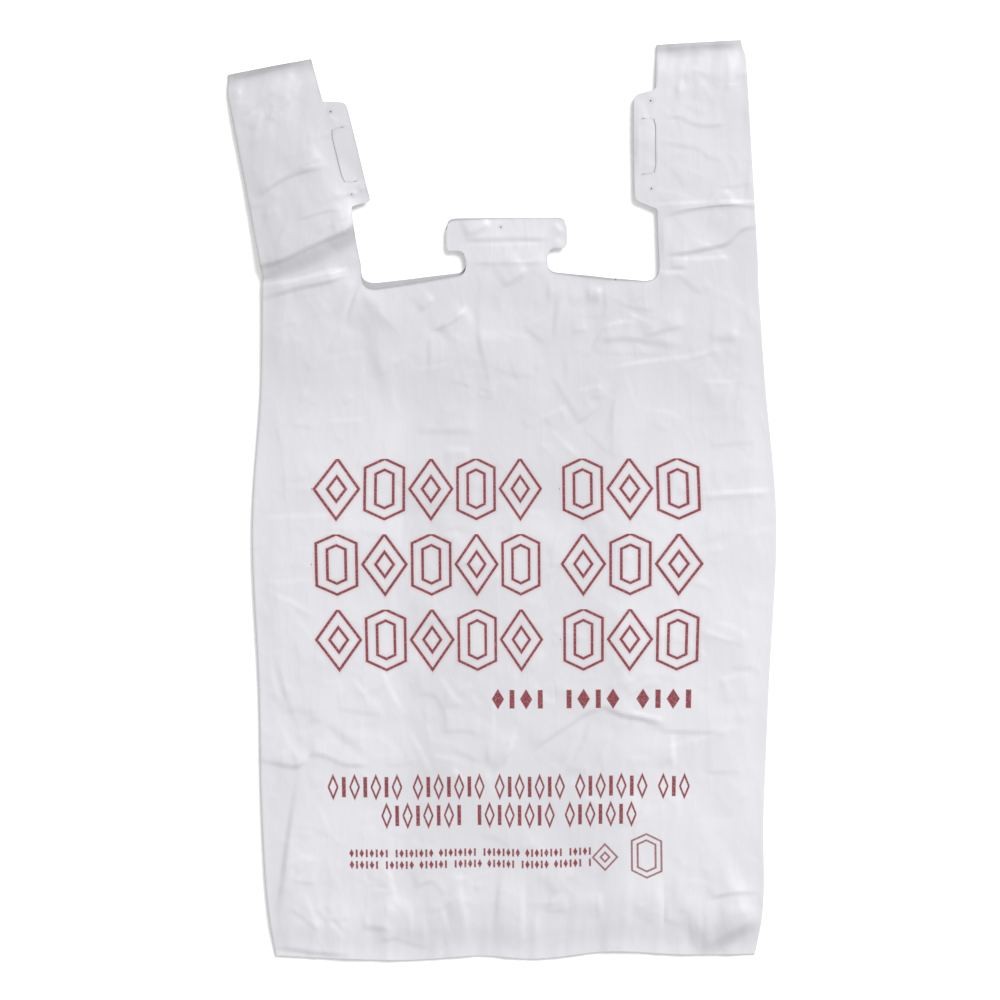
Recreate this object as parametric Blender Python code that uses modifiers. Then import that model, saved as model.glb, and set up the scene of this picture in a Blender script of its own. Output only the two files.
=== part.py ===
"""A plastic carrier bag with two loop handles, empty and laid flat on a table.

The bag is one piece of blown film and is built in the order in which a bag line makes it:
a tube pleated inwards down both sides, a welded seal across each end, a die cut that leaves
the two handles, the hanging tab and the mouth, then the pin holes and the slits of the ears.
Last, the flat bag is laid down as it came to rest: its sides bow out, its handles lean,
and its front film lifts in folds, while its back film lies on the table.

Metres. X runs across the bag, Y from the bottom seal to the handles, and Z up from the table.
The origin is on the table, at the middle of the rectangle that the bag covers.
"""

import math

import bmesh
import bpy
import numpy as np
from mathutils import Matrix

MM = 0.001

# Tube of film
BAG_WIDTH = 292 * MM
BAG_LENGTH = 559 * MM
GUSSET_DEPTH = 82.5 * MM
FILM = 0.25 * MM
PLY_GAP = 0.35 * MM
SEAL_LENGTH = 4 * MM
SEAL_BEAD = 0.06 * MM
SEAL_PRESS = 0.5

# Handles and mouth
HANDLE_WIDTH = 57 * MM
MOUTH_HEIGHT = 411.5 * MM
MOUTH_RISE = 7 * MM
MOUTH_CORNER = 9 * MM

# Ears on the inner edge of each handle
EAR_REACH = 13 * MM
EAR_LENGTH = 73 * MM
EAR_START = 47.5 * MM
EAR_LOW_TAPER = 6.5 * MM
EAR_HIGH_TAPER = 3 * MM
EAR_CORNER = 5 * MM
EAR_ROOT_CORNER = 2 * MM
PIN_DIAMETER = 2.2 * MM
LOW_PIN_HEIGHT = 12.5 * MM
HIGH_PIN_HEIGHT = 66 * MM
PIN_FROM_HANDLE = 3 * MM
SLIT_HEIGHT = 21.5 * MM
SLIT_LENGTH = 34 * MM
SLIT_REACH = 8.5 * MM
SLIT_CORNER = 3.5 * MM
SLIT_WIDTH = 0.7 * MM

# Hanging tab in the middle of the mouth
TAB_WIDTH = 73 * MM
TAB_HEAD = 18 * MM
TAB_CORNER = 6 * MM
NECK_WIDTH = 49.5 * MM
NECK_LENGTH = 15 * MM
NECK_CORNER = 6.5 * MM
TAB_PIN_DIAMETER = 2.6 * MM
TAB_PIN_FROM_TOP = 5 * MM
TAB_PIN_ASIDE = 3.4 * MM

# How the empty bag lies
BAG_TURN = math.radians(0.43)
LEFT_LEAN = math.radians(10.4)
LEFT_PLEAT = 6 * MM
RIGHT_LEAN = math.radians(2.9)
LEAN_HEIGHT = 12.5 * MM
LEAN_BLEND = 14 * MM
HANDLE_NARROWING = 6.3 * MM
CORNER_DRAW = 2.5 * MM
CORNER_DRAW_LENGTH = 16 * MM
MOUTH_SLIP = 4.5 * MM
MOUTH_SLIP_LENGTH = 70 * MM
TAB_DRIFT = 2 * MM

# How far each side fold bows out, against the share of the way from the bottom to the mouth
BOW_STATIONS = (0.0, 0.05, 0.2, 0.4, 0.655, 0.85, 1.0)
BOW_LEFT = tuple(bow * MM for bow in (0.4, 3.7, 8.0, 9.3, 12.6, 6.8, 5.6))
BOW_RIGHT = tuple(bow * MM for bow in (0.7, 4.7, 6.4, 10.3, 15.6, 9.4, 5.6))

# How far the bottom edge rises, against the share of the way from the middle to the right side
EDGE_STATIONS = (-1.0, -0.45, -0.1, 0.05, 0.4, 0.7, 1.0)
EDGE_RISE = tuple(rise * MM for rise in (2.1, -1.2, 0.9, -1.0, 3.2, 1.0, 1.0))
EDGE_FADE = 60 * MM

# Loft of the front film over the air left in the bag
FRONT_LOFT = 0.5 * MM
LOFT_FADE = 16 * MM
RIPPLE = 0.25 * MM
RIPPLE_ACROSS = 195 * MM
RIPPLE_ALONG = 270 * MM
GATHER_HEIGHT = 0.6 * MM
GATHER_LENGTH = 27 * MM
GATHER_FADE = 75 * MM
MOST_LIFT = 2.1 * MM

# Folds in the front film: name, one end, other end, height, reach to each side. The ends are
# shares of the half width (-1 left, 1 right) and of the mouth's height (0 bottom, 1 mouth).
FOLDS = (
    ("half_fold_left", (-1.0, 0.640), (-0.1, 0.660), 1.3 * MM, 16 * MM),
    ("half_fold_right", (0.1, 0.662), (1.0, 0.682), 1.4 * MM, 16 * MM),
    ("pleat_below_left_handle", (-1.0, 1.000), (-0.63, 1.065), 2.0 * MM, 17 * MM),
    ("pull_from_left_corner", (-0.62, 1.000), (-0.74, 0.800), 1.2 * MM, 18 * MM),
    ("long_fold_left_of_tab", (-0.34, 0.960), (-0.32, 0.700), 1.2 * MM, 19 * MM),
    ("long_fold_below_tab", (-0.12, 1.000), (-0.10, 0.720), 1.4 * MM, 18 * MM),
    ("long_fold_right_of_tab", (0.14, 0.960), (0.34, 0.700), 1.2 * MM, 18 * MM),
    ("soft_fold_upper_right", (0.28, 0.900), (0.76, 0.880), 1.4 * MM, 19 * MM),
    ("slack_fold_lower_left", (-0.98, 0.540), (-0.10, 0.300), 1.1 * MM, 21 * MM),
    ("slack_fold_left_side", (-0.95, 0.420), (-0.62, 0.240), 1.2 * MM, 19 * MM),
    ("slack_fold_middle", (-0.22, 0.330), (0.00, 0.160), 1.2 * MM, 19 * MM),
    ("slack_fold_lower_right", (0.16, 0.330), (0.66, 0.380), 1.3 * MM, 21 * MM),
    ("corner_fold_right", (0.66, 0.080), (1.0, 0.130), 1.4 * MM, 19 * MM),
    ("right_handle_low", (0.66, 1.070), (1.0, 1.110), 1.2 * MM, 17 * MM),
    ("right_handle_middle", (0.62, 1.190), (1.0, 1.170), 1.1 * MM, 17 * MM),
    ("left_handle_middle", (-0.98, 1.170), (-0.62, 1.240), 1.2 * MM, 17 * MM),
)

# Fineness of the film
FRONT_STEPS = 13
GUSSET_STEPS = 2
BACK_STEPS = 2
FOLD_STEPS = 3
LENGTH_STEPS = 44
ARC_STEPS = 4
PIN_SIDES = 12
CUTTER_REACH = 5 * MM
SAME_POINT = 0.02 * MM
FLAT_ANGLE = math.radians(0.3)
SHARP_ANGLE = math.radians(40)

# Looks of the film
FILM_COLOUR = (0.76, 0.76, 0.79, 1.0)
FILM_ROUGHNESS = 0.38

# Sizes that follow
PITCH = FILM + PLY_GAP
STACK = 4 * FILM + 3 * PLY_GAP
PLY_LEVELS = [FILM / 2 + k * PITCH for k in range(4)]
HALF_WIDTH = BAG_WIDTH / 2
INNER_EDGE = HALF_WIDTH - HANDLE_WIDTH
EAR_BOTTOM = MOUTH_HEIGHT + EAR_START
EAR_TOP = EAR_BOTTOM + EAR_LENGTH
MOUTH_AT_TAB = MOUTH_HEIGHT + MOUTH_RISE
HEAD_BOTTOM = MOUTH_AT_TAB + NECK_LENGTH
TAB_TOP = HEAD_BOTTOM + TAB_HEAD


def clear_scene():
    for old in list(bpy.data.objects):
        bpy.data.objects.remove(old)


def new_collection(name):
    collection = bpy.data.collections.new(name)
    bpy.context.scene.collection.children.link(collection)
    return collection


def smooth(share):
    """Rises from 0 to 1 as share does, level at both ends."""
    share = np.clip(share, 0.0, 1.0)
    return share * share * (3 - 2 * share)


def through(stations, values, at):
    """A smooth curve through the values at the stations: cubic pieces whose slope at each
    station is that of the line between its two neighbours."""
    stations = np.array(stations)
    values = np.array(values)
    slopes = np.gradient(values, stations)
    at = np.clip(at, stations[0], stations[-1])
    piece = np.clip(np.searchsorted(stations, at) - 1, 0, len(stations) - 2)
    span = stations[piece + 1] - stations[piece]
    t = (at - stations[piece]) / span
    start = values[piece] * (1 + 2 * t) + slopes[piece] * span * t
    end = values[piece + 1] * (3 - 2 * t) - slopes[piece + 1] * span * (1 - t)
    return start * (1 - t) ** 2 + end * t**2


def film_material():
    material = bpy.data.materials.new("white_film")
    material.use_nodes = True
    shader = material.node_tree.nodes["Principled BSDF"]
    shader.inputs["Base Color"].default_value = FILM_COLOUR
    shader.inputs["Roughness"].default_value = FILM_ROUGHNESS
    shader.inputs["Metallic"].default_value = 0.0
    shader.inputs["Subsurface Weight"].default_value = 0.1
    material.diffuse_color = FILM_COLOUR
    return material


# Tube

def half_section():
    """Points (x, z) of the film's middle line over the right half of the bag: the front film
    outwards, round the side fold, in along the gusset, round its inner fold, out again,
    round the other side fold, and back along the back film."""
    back, lower, upper, front = PLY_LEVELS
    radius = PITCH / 2
    outer = HALF_WIDTH - FILM / 2 - radius
    inner = HALF_WIDTH - GUSSET_DEPTH + FILM / 2 + radius

    def run(start, end, level, steps):
        return [(start + (end - start) * i / steps, level) for i in range(steps + 1)]

    def fold(x, level, side):
        """The inside points of a half turn downwards, bulging to the given side."""
        turns = [math.pi * i / FOLD_STEPS for i in range(1, FOLD_STEPS)]
        return [(x + side * radius * math.sin(t), level + radius * math.cos(t)) for t in turns]

    points = run(0, outer, front, FRONT_STEPS)
    points += fold(outer, (front + upper) / 2, 1)
    points += run(outer, inner, upper, GUSSET_STEPS)
    points += fold(inner, (upper + lower) / 2, -1)
    points += run(inner, outer, lower, GUSSET_STEPS)
    points += fold(outer, (lower + back) / 2, 1)
    points += run(outer, 0, back, BACK_STEPS)
    return points


def drawn_line(name, line, axis, length, steps):
    """An object whose line of points is drawn out along an axis into a strip."""
    mesh = bpy.data.meshes.new(name)
    mesh.from_pydata(line, [(i, i + 1) for i in range(len(line) - 1)], [])
    strip = bpy.data.objects.new(name, mesh)
    draw = strip.modifiers.new("draw_out", "SCREW")
    draw.axis = axis
    draw.angle = 0
    draw.screw_offset = length
    draw.steps = steps
    draw.render_steps = steps
    draw.use_merge_vertices = False
    return strip


def add_wall(strip, thickness):
    """Gives a strip its wall, half to either side of it."""
    wall = strip.modifiers.new("wall", "SOLIDIFY")
    wall.thickness = thickness
    wall.offset = 0
    wall.use_even_offset = True


def make_tube(collection, material):
    """The pleated tube: half of its section, drawn along Y, mirrored, and given its wall."""
    section = [(x, 0, z) for x, z in half_section()]
    tube = drawn_line("carrier_bag", section, "Y", BAG_LENGTH, LENGTH_STEPS)
    tube.data.materials.append(material)
    collection.objects.link(tube)
    mirror = tube.modifiers.new("other_half", "MIRROR")
    mirror.use_axis = (True, False, False)
    mirror.merge_threshold = SAME_POINT
    add_wall(tube, FILM)
    return tube


# Tools that weld and cut the film

def make_box(name, low, high, collection):
    mesh = bpy.data.meshes.new(name)
    shape = bmesh.new()
    size = [b - a for a, b in zip(low, high)]
    middle = [(a + b) / 2 for a, b in zip(low, high)]
    place = Matrix.Translation(middle) @ Matrix.Diagonal((*size, 1))
    bmesh.ops.create_cube(shape, size=1, matrix=place)
    shape.to_mesh(mesh)
    shape.free()
    return keep_as_tool(bpy.data.objects.new(name, mesh), collection)


def make_pin(name, x, y, diameter, collection):
    mesh = bpy.data.meshes.new(name)
    shape = bmesh.new()
    bmesh.ops.create_cone(
        shape,
        cap_ends=True,
        segments=PIN_SIDES,
        radius1=diameter / 2,
        radius2=diameter / 2,
        depth=STACK + 2 * CUTTER_REACH,
        matrix=Matrix.Translation((x, y, STACK / 2)),
    )
    shape.to_mesh(mesh)
    shape.free()
    return keep_as_tool(bpy.data.objects.new(name, mesh), collection)


def keep_as_tool(tool, collection):
    collection.objects.link(tool)
    tool.hide_render = True
    tool.display_type = "WIRE"
    return tool


def rounded(corners):
    """A path through (x, y, radius) corners, each rounded by a parabola as wide as an arc of
    its radius, which takes at most half of either side."""
    path = []
    for i, (x, y, radius) in enumerate(corners):
        if radius == 0 or i in (0, len(corners) - 1):
            path.append((x, y))
            continue
        corner = np.array((x, y))
        back = np.array(corners[i - 1][:2]) - corner
        ahead = np.array(corners[i + 1][:2]) - corner
        reach_back = np.linalg.norm(back)
        reach_ahead = np.linalg.norm(ahead)
        back = back / reach_back
        ahead = ahead / reach_ahead
        half_angle = math.acos(np.clip(back @ ahead, -1, 1)) / 2
        cut = min(radius / math.tan(half_angle), reach_back / 2, reach_ahead / 2)
        start = corner + back * cut
        end = corner + ahead * cut
        for step in range(ARC_STEPS + 1):
            t = step / ARC_STEPS
            point = start * (1 - t) ** 2 + corner * 2 * t * (1 - t) + end * t**2
            path.append(tuple(point))
    return path


def mirrored(path):
    """The path with its reflection in front of it, from the left end to the right end."""
    return [(-x, y) for x, y in reversed(path)] + list(path)


def die_path():
    """The edge that the die leaves, from the middle of the tab to above the right handle."""
    corners = [
        (0, TAB_TOP, 0),
        (TAB_WIDTH / 2, TAB_TOP, TAB_CORNER),
        (TAB_WIDTH / 2, HEAD_BOTTOM, TAB_CORNER / 2),
        (NECK_WIDTH / 2, HEAD_BOTTOM, NECK_CORNER),
        (NECK_WIDTH / 2, MOUTH_AT_TAB, NECK_CORNER),
        (INNER_EDGE, MOUTH_HEIGHT, MOUTH_CORNER),
        (INNER_EDGE, EAR_BOTTOM, EAR_ROOT_CORNER),
        (INNER_EDGE - EAR_REACH, EAR_BOTTOM + EAR_LOW_TAPER, EAR_CORNER),
        (INNER_EDGE - EAR_REACH, EAR_TOP - EAR_HIGH_TAPER, EAR_CORNER),
        (INNER_EDGE, EAR_TOP, EAR_ROOT_CORNER),
        (INNER_EDGE, BAG_LENGTH + CUTTER_REACH, 0),
    ]
    return rounded(corners)[1:]


def make_die(collection):
    """The waste that is punched out between the handles, as a flat outline with depth."""
    outline = mirrored(die_path())
    curve = bpy.data.curves.new("die", "CURVE")
    curve.dimensions = "2D"
    curve.fill_mode = "BOTH"
    curve.extrude = STACK / 2 + CUTTER_REACH
    line = curve.splines.new("POLY")
    line.points.add(len(outline) - 1)
    for point, (x, y) in zip(line.points, outline):
        point.co = (x, y, 0, 1)
    line.use_cyclic_u = True
    drawn = bpy.data.objects.new("die_outline", curve)
    drawn.location = (0, 0, STACK / 2)
    collection.objects.link(drawn)
    bpy.context.view_layer.update()
    graph = bpy.context.evaluated_depsgraph_get()
    mesh = bpy.data.meshes.new_from_object(drawn.evaluated_get(graph))
    shape = bmesh.new()
    shape.from_mesh(mesh)
    bmesh.ops.remove_doubles(shape, verts=shape.verts, dist=SAME_POINT)
    bmesh.ops.recalc_face_normals(shape, faces=shape.faces)
    shape.to_mesh(mesh)
    shape.free()
    die = bpy.data.objects.new("die", mesh)
    die.matrix_world = drawn.matrix_world
    bpy.data.objects.remove(drawn)
    return keep_as_tool(die, collection)


def make_slit(side, collection):
    """The blade of one ear's slit: up the handle's edge, with both ends turned into the ear."""
    low = EAR_BOTTOM + SLIT_HEIGHT
    high = low + SLIT_LENGTH
    tip = INNER_EDGE - SLIT_REACH
    corners = [
        (tip, low, 0),
        (INNER_EDGE, low, SLIT_CORNER),
        (INNER_EDGE, high, SLIT_CORNER),
        (tip, high, 0),
    ]
    line = [(side * x, y, -CUTTER_REACH) for x, y in rounded(corners)]
    name = "slit_left" if side < 0 else "slit_right"
    blade = drawn_line(name, line, "Z", STACK + 2 * CUTTER_REACH, 1)
    add_wall(blade, SLIT_WIDTH)
    return keep_as_tool(blade, collection)


def apply_tool(bag, tool, operation):
    step = bag.modifiers.new(tool.name, "BOOLEAN")
    step.operation = operation
    step.solver = "EXACT"
    step.object = tool


def weld_and_cut(bag, tools):
    """Both seals, then the die, the pin holes and the slits."""
    side = HALF_WIDTH + SEAL_BEAD
    floor = FILM / 2
    roof = STACK + SEAL_BEAD
    seals = (
        ("bottom_seal", -SEAL_BEAD, SEAL_LENGTH),
        ("top_seal", BAG_LENGTH - SEAL_LENGTH, BAG_LENGTH + SEAL_BEAD),
    )
    for name, start, end in seals:
        apply_tool(bag, make_box(name, (-side, start, floor), (side, end, roof), tools), "UNION")
    apply_tool(bag, make_die(tools), "DIFFERENCE")
    pin_x = INNER_EDGE - PIN_FROM_HANDLE
    for side_name, side_sign in (("left", -1), ("right", 1)):
        for end_name, height in (("low", LOW_PIN_HEIGHT), ("high", HIGH_PIN_HEIGHT)):
            name = f"pin_{side_name}_{end_name}"
            pin = make_pin(name, side_sign * pin_x, EAR_BOTTOM + height, PIN_DIAMETER, tools)
            apply_tool(bag, pin, "DIFFERENCE")
        apply_tool(bag, make_slit(side_sign, tools), "DIFFERENCE")
    tab_pin = make_pin("tab_pin", -TAB_PIN_ASIDE, TAB_TOP - TAB_PIN_FROM_TOP, TAB_PIN_DIAMETER, tools)
    apply_tool(bag, tab_pin, "DIFFERENCE")


# The way the bag lies

def distance_to_fold(x, y, start, end):
    """How far each point is from the straight line between a fold's two ends."""
    ax, ay = start[0] * HALF_WIDTH, start[1] * MOUTH_HEIGHT
    bx, by = end[0] * HALF_WIDTH, end[1] * MOUTH_HEIGHT
    along = ((x - ax) * (bx - ax) + (y - ay) * (by - ay)) / ((bx - ax) ** 2 + (by - ay) ** 2)
    along = np.clip(along, 0, 1)
    return np.hypot(x - ax - along * (bx - ax), y - ay - along * (by - ay))


def front_lift(x, y):
    """How far the front film stands above its flat place: a low rippled loft, the gathers
    along the bottom seal, and each fold as a smooth ridge. It dies out at seals and folds."""
    ripple = np.sin(2 * math.pi * x / RIPPLE_ACROSS) * np.cos(2 * math.pi * y / RIPPLE_ALONG)
    lift = FRONT_LOFT + RIPPLE * ripple
    gathers = (1 + np.sin(2 * math.pi * x / GATHER_LENGTH)) / 2
    lift = lift + GATHER_HEIGHT * gathers * np.exp(-y / GATHER_FADE)
    for _, start, end, height, reach in FOLDS:
        lift = lift + height * (1 - smooth(distance_to_fold(x, y, start, end) / reach))
    from_side = HALF_WIDTH - np.abs(x)
    from_seal = np.minimum(y, BAG_LENGTH - y) - SEAL_LENGTH
    fade = smooth(from_side / LOFT_FADE) * smooth(from_seal / LOFT_FADE)
    return MOST_LIFT * np.tanh(lift / MOST_LIFT) * fade


def front_share(z):
    """0 on the back film and both gusset films, 1 on the front film, between them in the gap."""
    return np.clip((z - (STACK - PITCH)) / PLY_GAP, 0, 1)


def lean_handle(x, y, side, lean, pleat):
    """Turns one handle to the left about the right end of its root, so that its film bunches at
    the left end, after taking up a pleat across the root."""
    pivot = side * INNER_EDGE if side < 0 else HALF_WIDTH
    hinge = MOUTH_HEIGHT + LEAN_HEIGHT
    bent = smooth((y - hinge + LEAN_BLEND) / (2 * LEAN_BLEND))
    clear_of_tab = (TAB_WIDTH / 2 + INNER_EDGE - EAR_REACH) / 2
    bent = np.where(x * side > clear_of_tab, bent, 0.0)
    dx = x - pivot
    dy = y - hinge - pleat * bent
    turn = lean * bent
    leaned_x = pivot + dx * np.cos(turn) - dy * np.sin(turn)
    leaned_y = hinge + dx * np.sin(turn) + dy * np.cos(turn)
    return leaned_x, leaned_y


def lay_down(points):
    """Moves the flat bag's points to where they lie on the table."""
    x, y, z = points.T
    front = front_share(z)
    from_end = np.minimum(y, BAG_LENGTH - y)
    laid_z = z + front_lift(x, y) * front
    laid_z = laid_z * (1 - SEAL_PRESS * (1 - smooth((from_end - SEAL_LENGTH) / LOFT_FADE)))

    near_mouth = smooth((y - MOUTH_HEIGHT + MOUTH_SLIP_LENGTH) / MOUTH_SLIP_LENGTH)
    near_mouth = near_mouth * (1 - smooth((y - MOUTH_AT_TAB - MOUTH_SLIP) / MOUTH_SLIP_LENGTH))
    slip = MOUTH_SLIP * np.exp(-(((x + INNER_EDGE) / MOUTH_SLIP_LENGTH) ** 2)) * near_mouth
    rise = through(EDGE_STATIONS, EDGE_RISE, x / HALF_WIDTH) * np.exp(-y / EDGE_FADE)
    laid_y = y - slip * front + rise

    up_handle = np.clip((y - MOUTH_HEIGHT) / (BAG_LENGTH - MOUTH_HEIGHT), 0, 1)
    from_fold = np.clip((HALF_WIDTH - np.abs(x)) / HANDLE_WIDTH, 0, 1)
    in_handle = smooth((np.abs(x) - TAB_WIDTH / 2) / (INNER_EDGE - EAR_REACH - TAB_WIDTH / 2))
    narrowed = HANDLE_NARROWING * up_handle**2 * from_fold * in_handle
    drawn_in = CORNER_DRAW * smooth(1 - (BAG_LENGTH - y) / CORNER_DRAW_LENGTH) ** 2 * (1 - from_fold)
    height = y / MOUTH_HEIGHT
    left_bow = through(BOW_STATIONS, BOW_LEFT, height)
    right_bow = through(BOW_STATIONS, BOW_RIGHT, height)
    bow = np.where(x < 0, left_bow, right_bow)
    laid_x = x + np.sign(x) * (bow * (x / HALF_WIDTH) ** 2 + narrowed - drawn_in)
    laid_x = laid_x - TAB_DRIFT * smooth((y - MOUTH_HEIGHT) / MOUTH_RISE) * (1 - in_handle)

    laid_x, laid_y = lean_handle(laid_x, laid_y, -1, LEFT_LEAN, LEFT_PLEAT)
    laid_x, laid_y = lean_handle(laid_x, laid_y, 1, RIGHT_LEAN, 0.0)
    turned_x = laid_x * math.cos(BAG_TURN) - laid_y * math.sin(BAG_TURN)
    turned_y = laid_x * math.sin(BAG_TURN) + laid_y * math.cos(BAG_TURN)
    return np.stack([turned_x, turned_y, laid_z], axis=1)


def settle(bag):
    """Bakes the flat bag's modifiers into its mesh, lays it down and centres it on the origin."""
    bpy.context.view_layer.update()
    graph = bpy.context.evaluated_depsgraph_get()
    mesh = bpy.data.meshes.new_from_object(bag.evaluated_get(graph))
    bag.modifiers.clear()
    bag.data = mesh
    points = np.empty(len(mesh.vertices) * 3, np.float32)
    mesh.vertices.foreach_get("co", points)
    laid = lay_down(points.reshape(-1, 3).astype(float))
    low = laid.min(axis=0)
    high = laid.max(axis=0)
    laid -= ((low[0] + high[0]) / 2, (low[1] + high[1]) / 2, low[2])
    mesh.vertices.foreach_set("co", laid.astype(np.float32).ravel())
    mesh.update()


def simplify_flat_areas(bag):
    """Joins the faces that lie in one plane, as under the bag, which need no more of them."""
    shape = bmesh.new()
    shape.from_mesh(bag.data)
    bmesh.ops.dissolve_limit(shape, angle_limit=FLAT_ANGLE, verts=shape.verts, edges=shape.edges)
    bmesh.ops.triangulate(shape, faces=shape.faces)
    bmesh.ops.recalc_face_normals(shape, faces=shape.faces)
    shape.to_mesh(bag.data)
    shape.free()
    bag.data.shade_smooth()
    bag.data.set_sharp_from_angle(angle=SHARP_ANGLE)


def main():
    clear_scene()
    parts = new_collection("plastic_carrier_bag")
    tools = new_collection("cutters")
    bag = make_tube(parts, film_material())
    weld_and_cut(bag, tools)
    settle(bag)
    simplify_flat_areas(bag)
    for tool in list(tools.objects):
        bpy.data.objects.remove(tool)


main()
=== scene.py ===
"""The look of a thin plastic carrier bag lying flat: one blown film tube, pleated inwards down both
sides, sealed at its foot and its top, and die cut to leave two loop handles, an ear on each with a
slit, pin holes, a hanging tab and the mouth. The film is one surface worked out on (u, v) grids and
laid down wrinkled. Lengths in the code are in millimetres; the mesh is in metres."""

import math

import bpy
import numpy as np
from bpy.props import FloatProperty, FloatVectorProperty, IntProperty, PointerProperty
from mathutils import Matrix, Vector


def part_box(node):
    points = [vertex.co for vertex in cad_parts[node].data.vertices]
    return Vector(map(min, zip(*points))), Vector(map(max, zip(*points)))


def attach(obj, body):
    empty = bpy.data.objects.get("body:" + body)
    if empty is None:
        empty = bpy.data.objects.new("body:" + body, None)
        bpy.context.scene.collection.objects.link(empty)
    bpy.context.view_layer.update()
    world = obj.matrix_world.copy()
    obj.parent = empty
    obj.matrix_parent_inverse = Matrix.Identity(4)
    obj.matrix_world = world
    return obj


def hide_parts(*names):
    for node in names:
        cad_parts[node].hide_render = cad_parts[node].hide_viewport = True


bl_info = {
    "name": "Plastic carrier bag",
    "version": (1, 0, 0),
    "blender": (4, 5, 0),
    "location": "3D View > Sidebar > Carrier bag",
    "description": "Makes the wrinkled film, its print and the stage of a flat plastic carrier bag",
    "category": "Object",
}

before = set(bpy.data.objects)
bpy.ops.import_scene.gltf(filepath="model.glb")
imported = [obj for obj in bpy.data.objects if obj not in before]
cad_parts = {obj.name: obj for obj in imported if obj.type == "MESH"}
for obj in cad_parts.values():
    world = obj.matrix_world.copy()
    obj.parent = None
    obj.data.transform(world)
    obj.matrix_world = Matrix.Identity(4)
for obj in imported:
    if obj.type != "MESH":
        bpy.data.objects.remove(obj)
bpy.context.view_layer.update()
BAG_LOW, BAG_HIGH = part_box("carrier_bag")
MM = 0.001

# The flat pattern, as the bag's solid has it.
BAG_WIDTH = 292.0
BAG_LENGTH = 559.0
HALF_WIDTH = BAG_WIDTH / 2
GUSSET_DEPTH = 82.5
FILM = 0.25
PITCH = 0.6
STACK = 2.05
PLY_GAP = 0.35
HANDLE_WIDTH = 57.0
INNER_EDGE = HALF_WIDTH - HANDLE_WIDTH
FOLD_RADIUS = PITCH / 2
SIDE_FOLD = HALF_WIDTH - FILM / 2 - FOLD_RADIUS
INNER_FOLD = HALF_WIDTH - GUSSET_DEPTH + FILM / 2 + FOLD_RADIUS
MOUTH_HEIGHT = 411.5
MOUTH_AT_TAB = 418.5
MOUTH_CORNER = 9.0
EAR_REACH = 13.0
EAR_BOTTOM = 459.0
EAR_TOP = 532.0
EAR_LOW_TAPER = 6.5
EAR_HIGH_TAPER = 3.0
EAR_CORNER = 5.0
EAR_ROOT_CORNER = 2.0
SLIT_LOW = EAR_BOTTOM + 21.5
SLIT_HIGH = SLIT_LOW + 34.0
SLIT_REACH = 8.5
SLIT_ROUNDING = 0.95
SLIT_ROUNDING_REACH = 3.2
PINS = ((86.0, EAR_BOTTOM + 12.5), (86.0, EAR_BOTTOM + 66.0))
TAB_PIN = (-3.4, 446.5)
TAB_WIDTH = 73.0
TAB_TOP = 451.5
HEAD_BOTTOM = 433.5
TAB_CORNER = 6.0
NECK_WIDTH = 49.5
NECK_CORNER = 6.5
SEAL_LENGTH = 4.0
SEAL_PRESS = 0.5
LOFT_FADE = 16.0

# How the bag lies: its turn, the lean of its handles and the bow of its edges.
BAG_TURN = math.radians(0.43)
LEFT_LEAN = math.radians(10.4)
LEFT_PLEAT = 6.0
RIGHT_LEAN = math.radians(2.9)
LEAN_HEIGHT = 12.5
LEAN_BLEND = 14.0
HANDLE_NARROWING = 6.3
CORNER_DRAW = 2.5
CORNER_DRAW_LENGTH = 16.0
MOUTH_SLIP = 4.5
MOUTH_SLIP_LENGTH = 70.0
MOUTH_RISE = 7.0
TAB_DRIFT = 2.0
RIGHT_SLIP = 1.6
RIGHT_SLIP_AT = 56.0
RIGHT_SLIP_LENGTH = 26.0
LEFT_EAR_TUCK = 9.0
EAR_TUCK_AT = EAR_BOTTOM + 2
EAR_TUCK_LENGTH = 10.0
EAR_TUCK_EDGE = 5.0
EAR_TUCK_BLEND = 6.0
EAR_TIP_HOLD = 0.65
CLEAR_OF_TAB = 50.0
TAB_BLEND = 15.0
BOW_STATIONS = (0, 0.05, 0.2, 0.4, 0.655, 0.85, 1)
BOW_LEFT = (0.4, 3.7, 8.0, 9.3, 12.6, 6.8, 5.6)
BOW_RIGHT = (0.7, 4.7, 6.4, 10.3, 15.6, 9.4, 5.6)
EDGE_STATIONS = (-1, -0.45, -0.1, 0.05, 0.4, 0.7, 1)
EDGE_RISE = (2.1, -1.2, 0.9, -1.0, 3.2, 1.0, 1.0)
EDGE_FADE = 60.0

# The grids: rows are level below MOUTH_BAND and bend to the mouth above it. Points whose places
# match to 1 / KEYS_PER_MM are one point, and a place is past a line when it is SAME beyond it.
MOUTH_BAND = 352.0
FILLET_STEPS = 6
EAR_CORNER_STEP = 1.0
EAR_ROOT_STEP = 0.6
WING_STEP = 1.6
FOOT_ROWS = 60
MIDDLE_ROWS = (60, 120, 300)
MIDDLE_STEP = 1.15
BAND_STEP = 0.95
KEYS_PER_MM = 50
SAME = 0.01
FAR = 1e6
FRONT, BACK = 3, 0

# How the front film stands off the plies under it, besides its creases.
PILLOW_FADE = 40.0
HANDLE_PILLOW = 0.4
WAVE_LENGTHS = (150.0, 95.0, 62.0, 44.0)
WAVE_FLATNESS = 900
WAVE_LIFT = 0.6
GATHER_LENGTHS = (7.5, 10.5, 15.0, 23.0, 34.0)
GATHER_FLATNESS = 110
GATHER_LEAN = 0.12
GATHER_LIFT = 0.35
GATHER_FADE = 26.0
FOLD_HOLD, FOLD_HOLD_WIDTH = 0.4, 14.0
HANDLE_HOLD, HANDLE_BLEND = 0.75, 40.0
SEAL_HOLD, SEAL_HOLD_WIDTH = 0.45, 35.0

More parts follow.
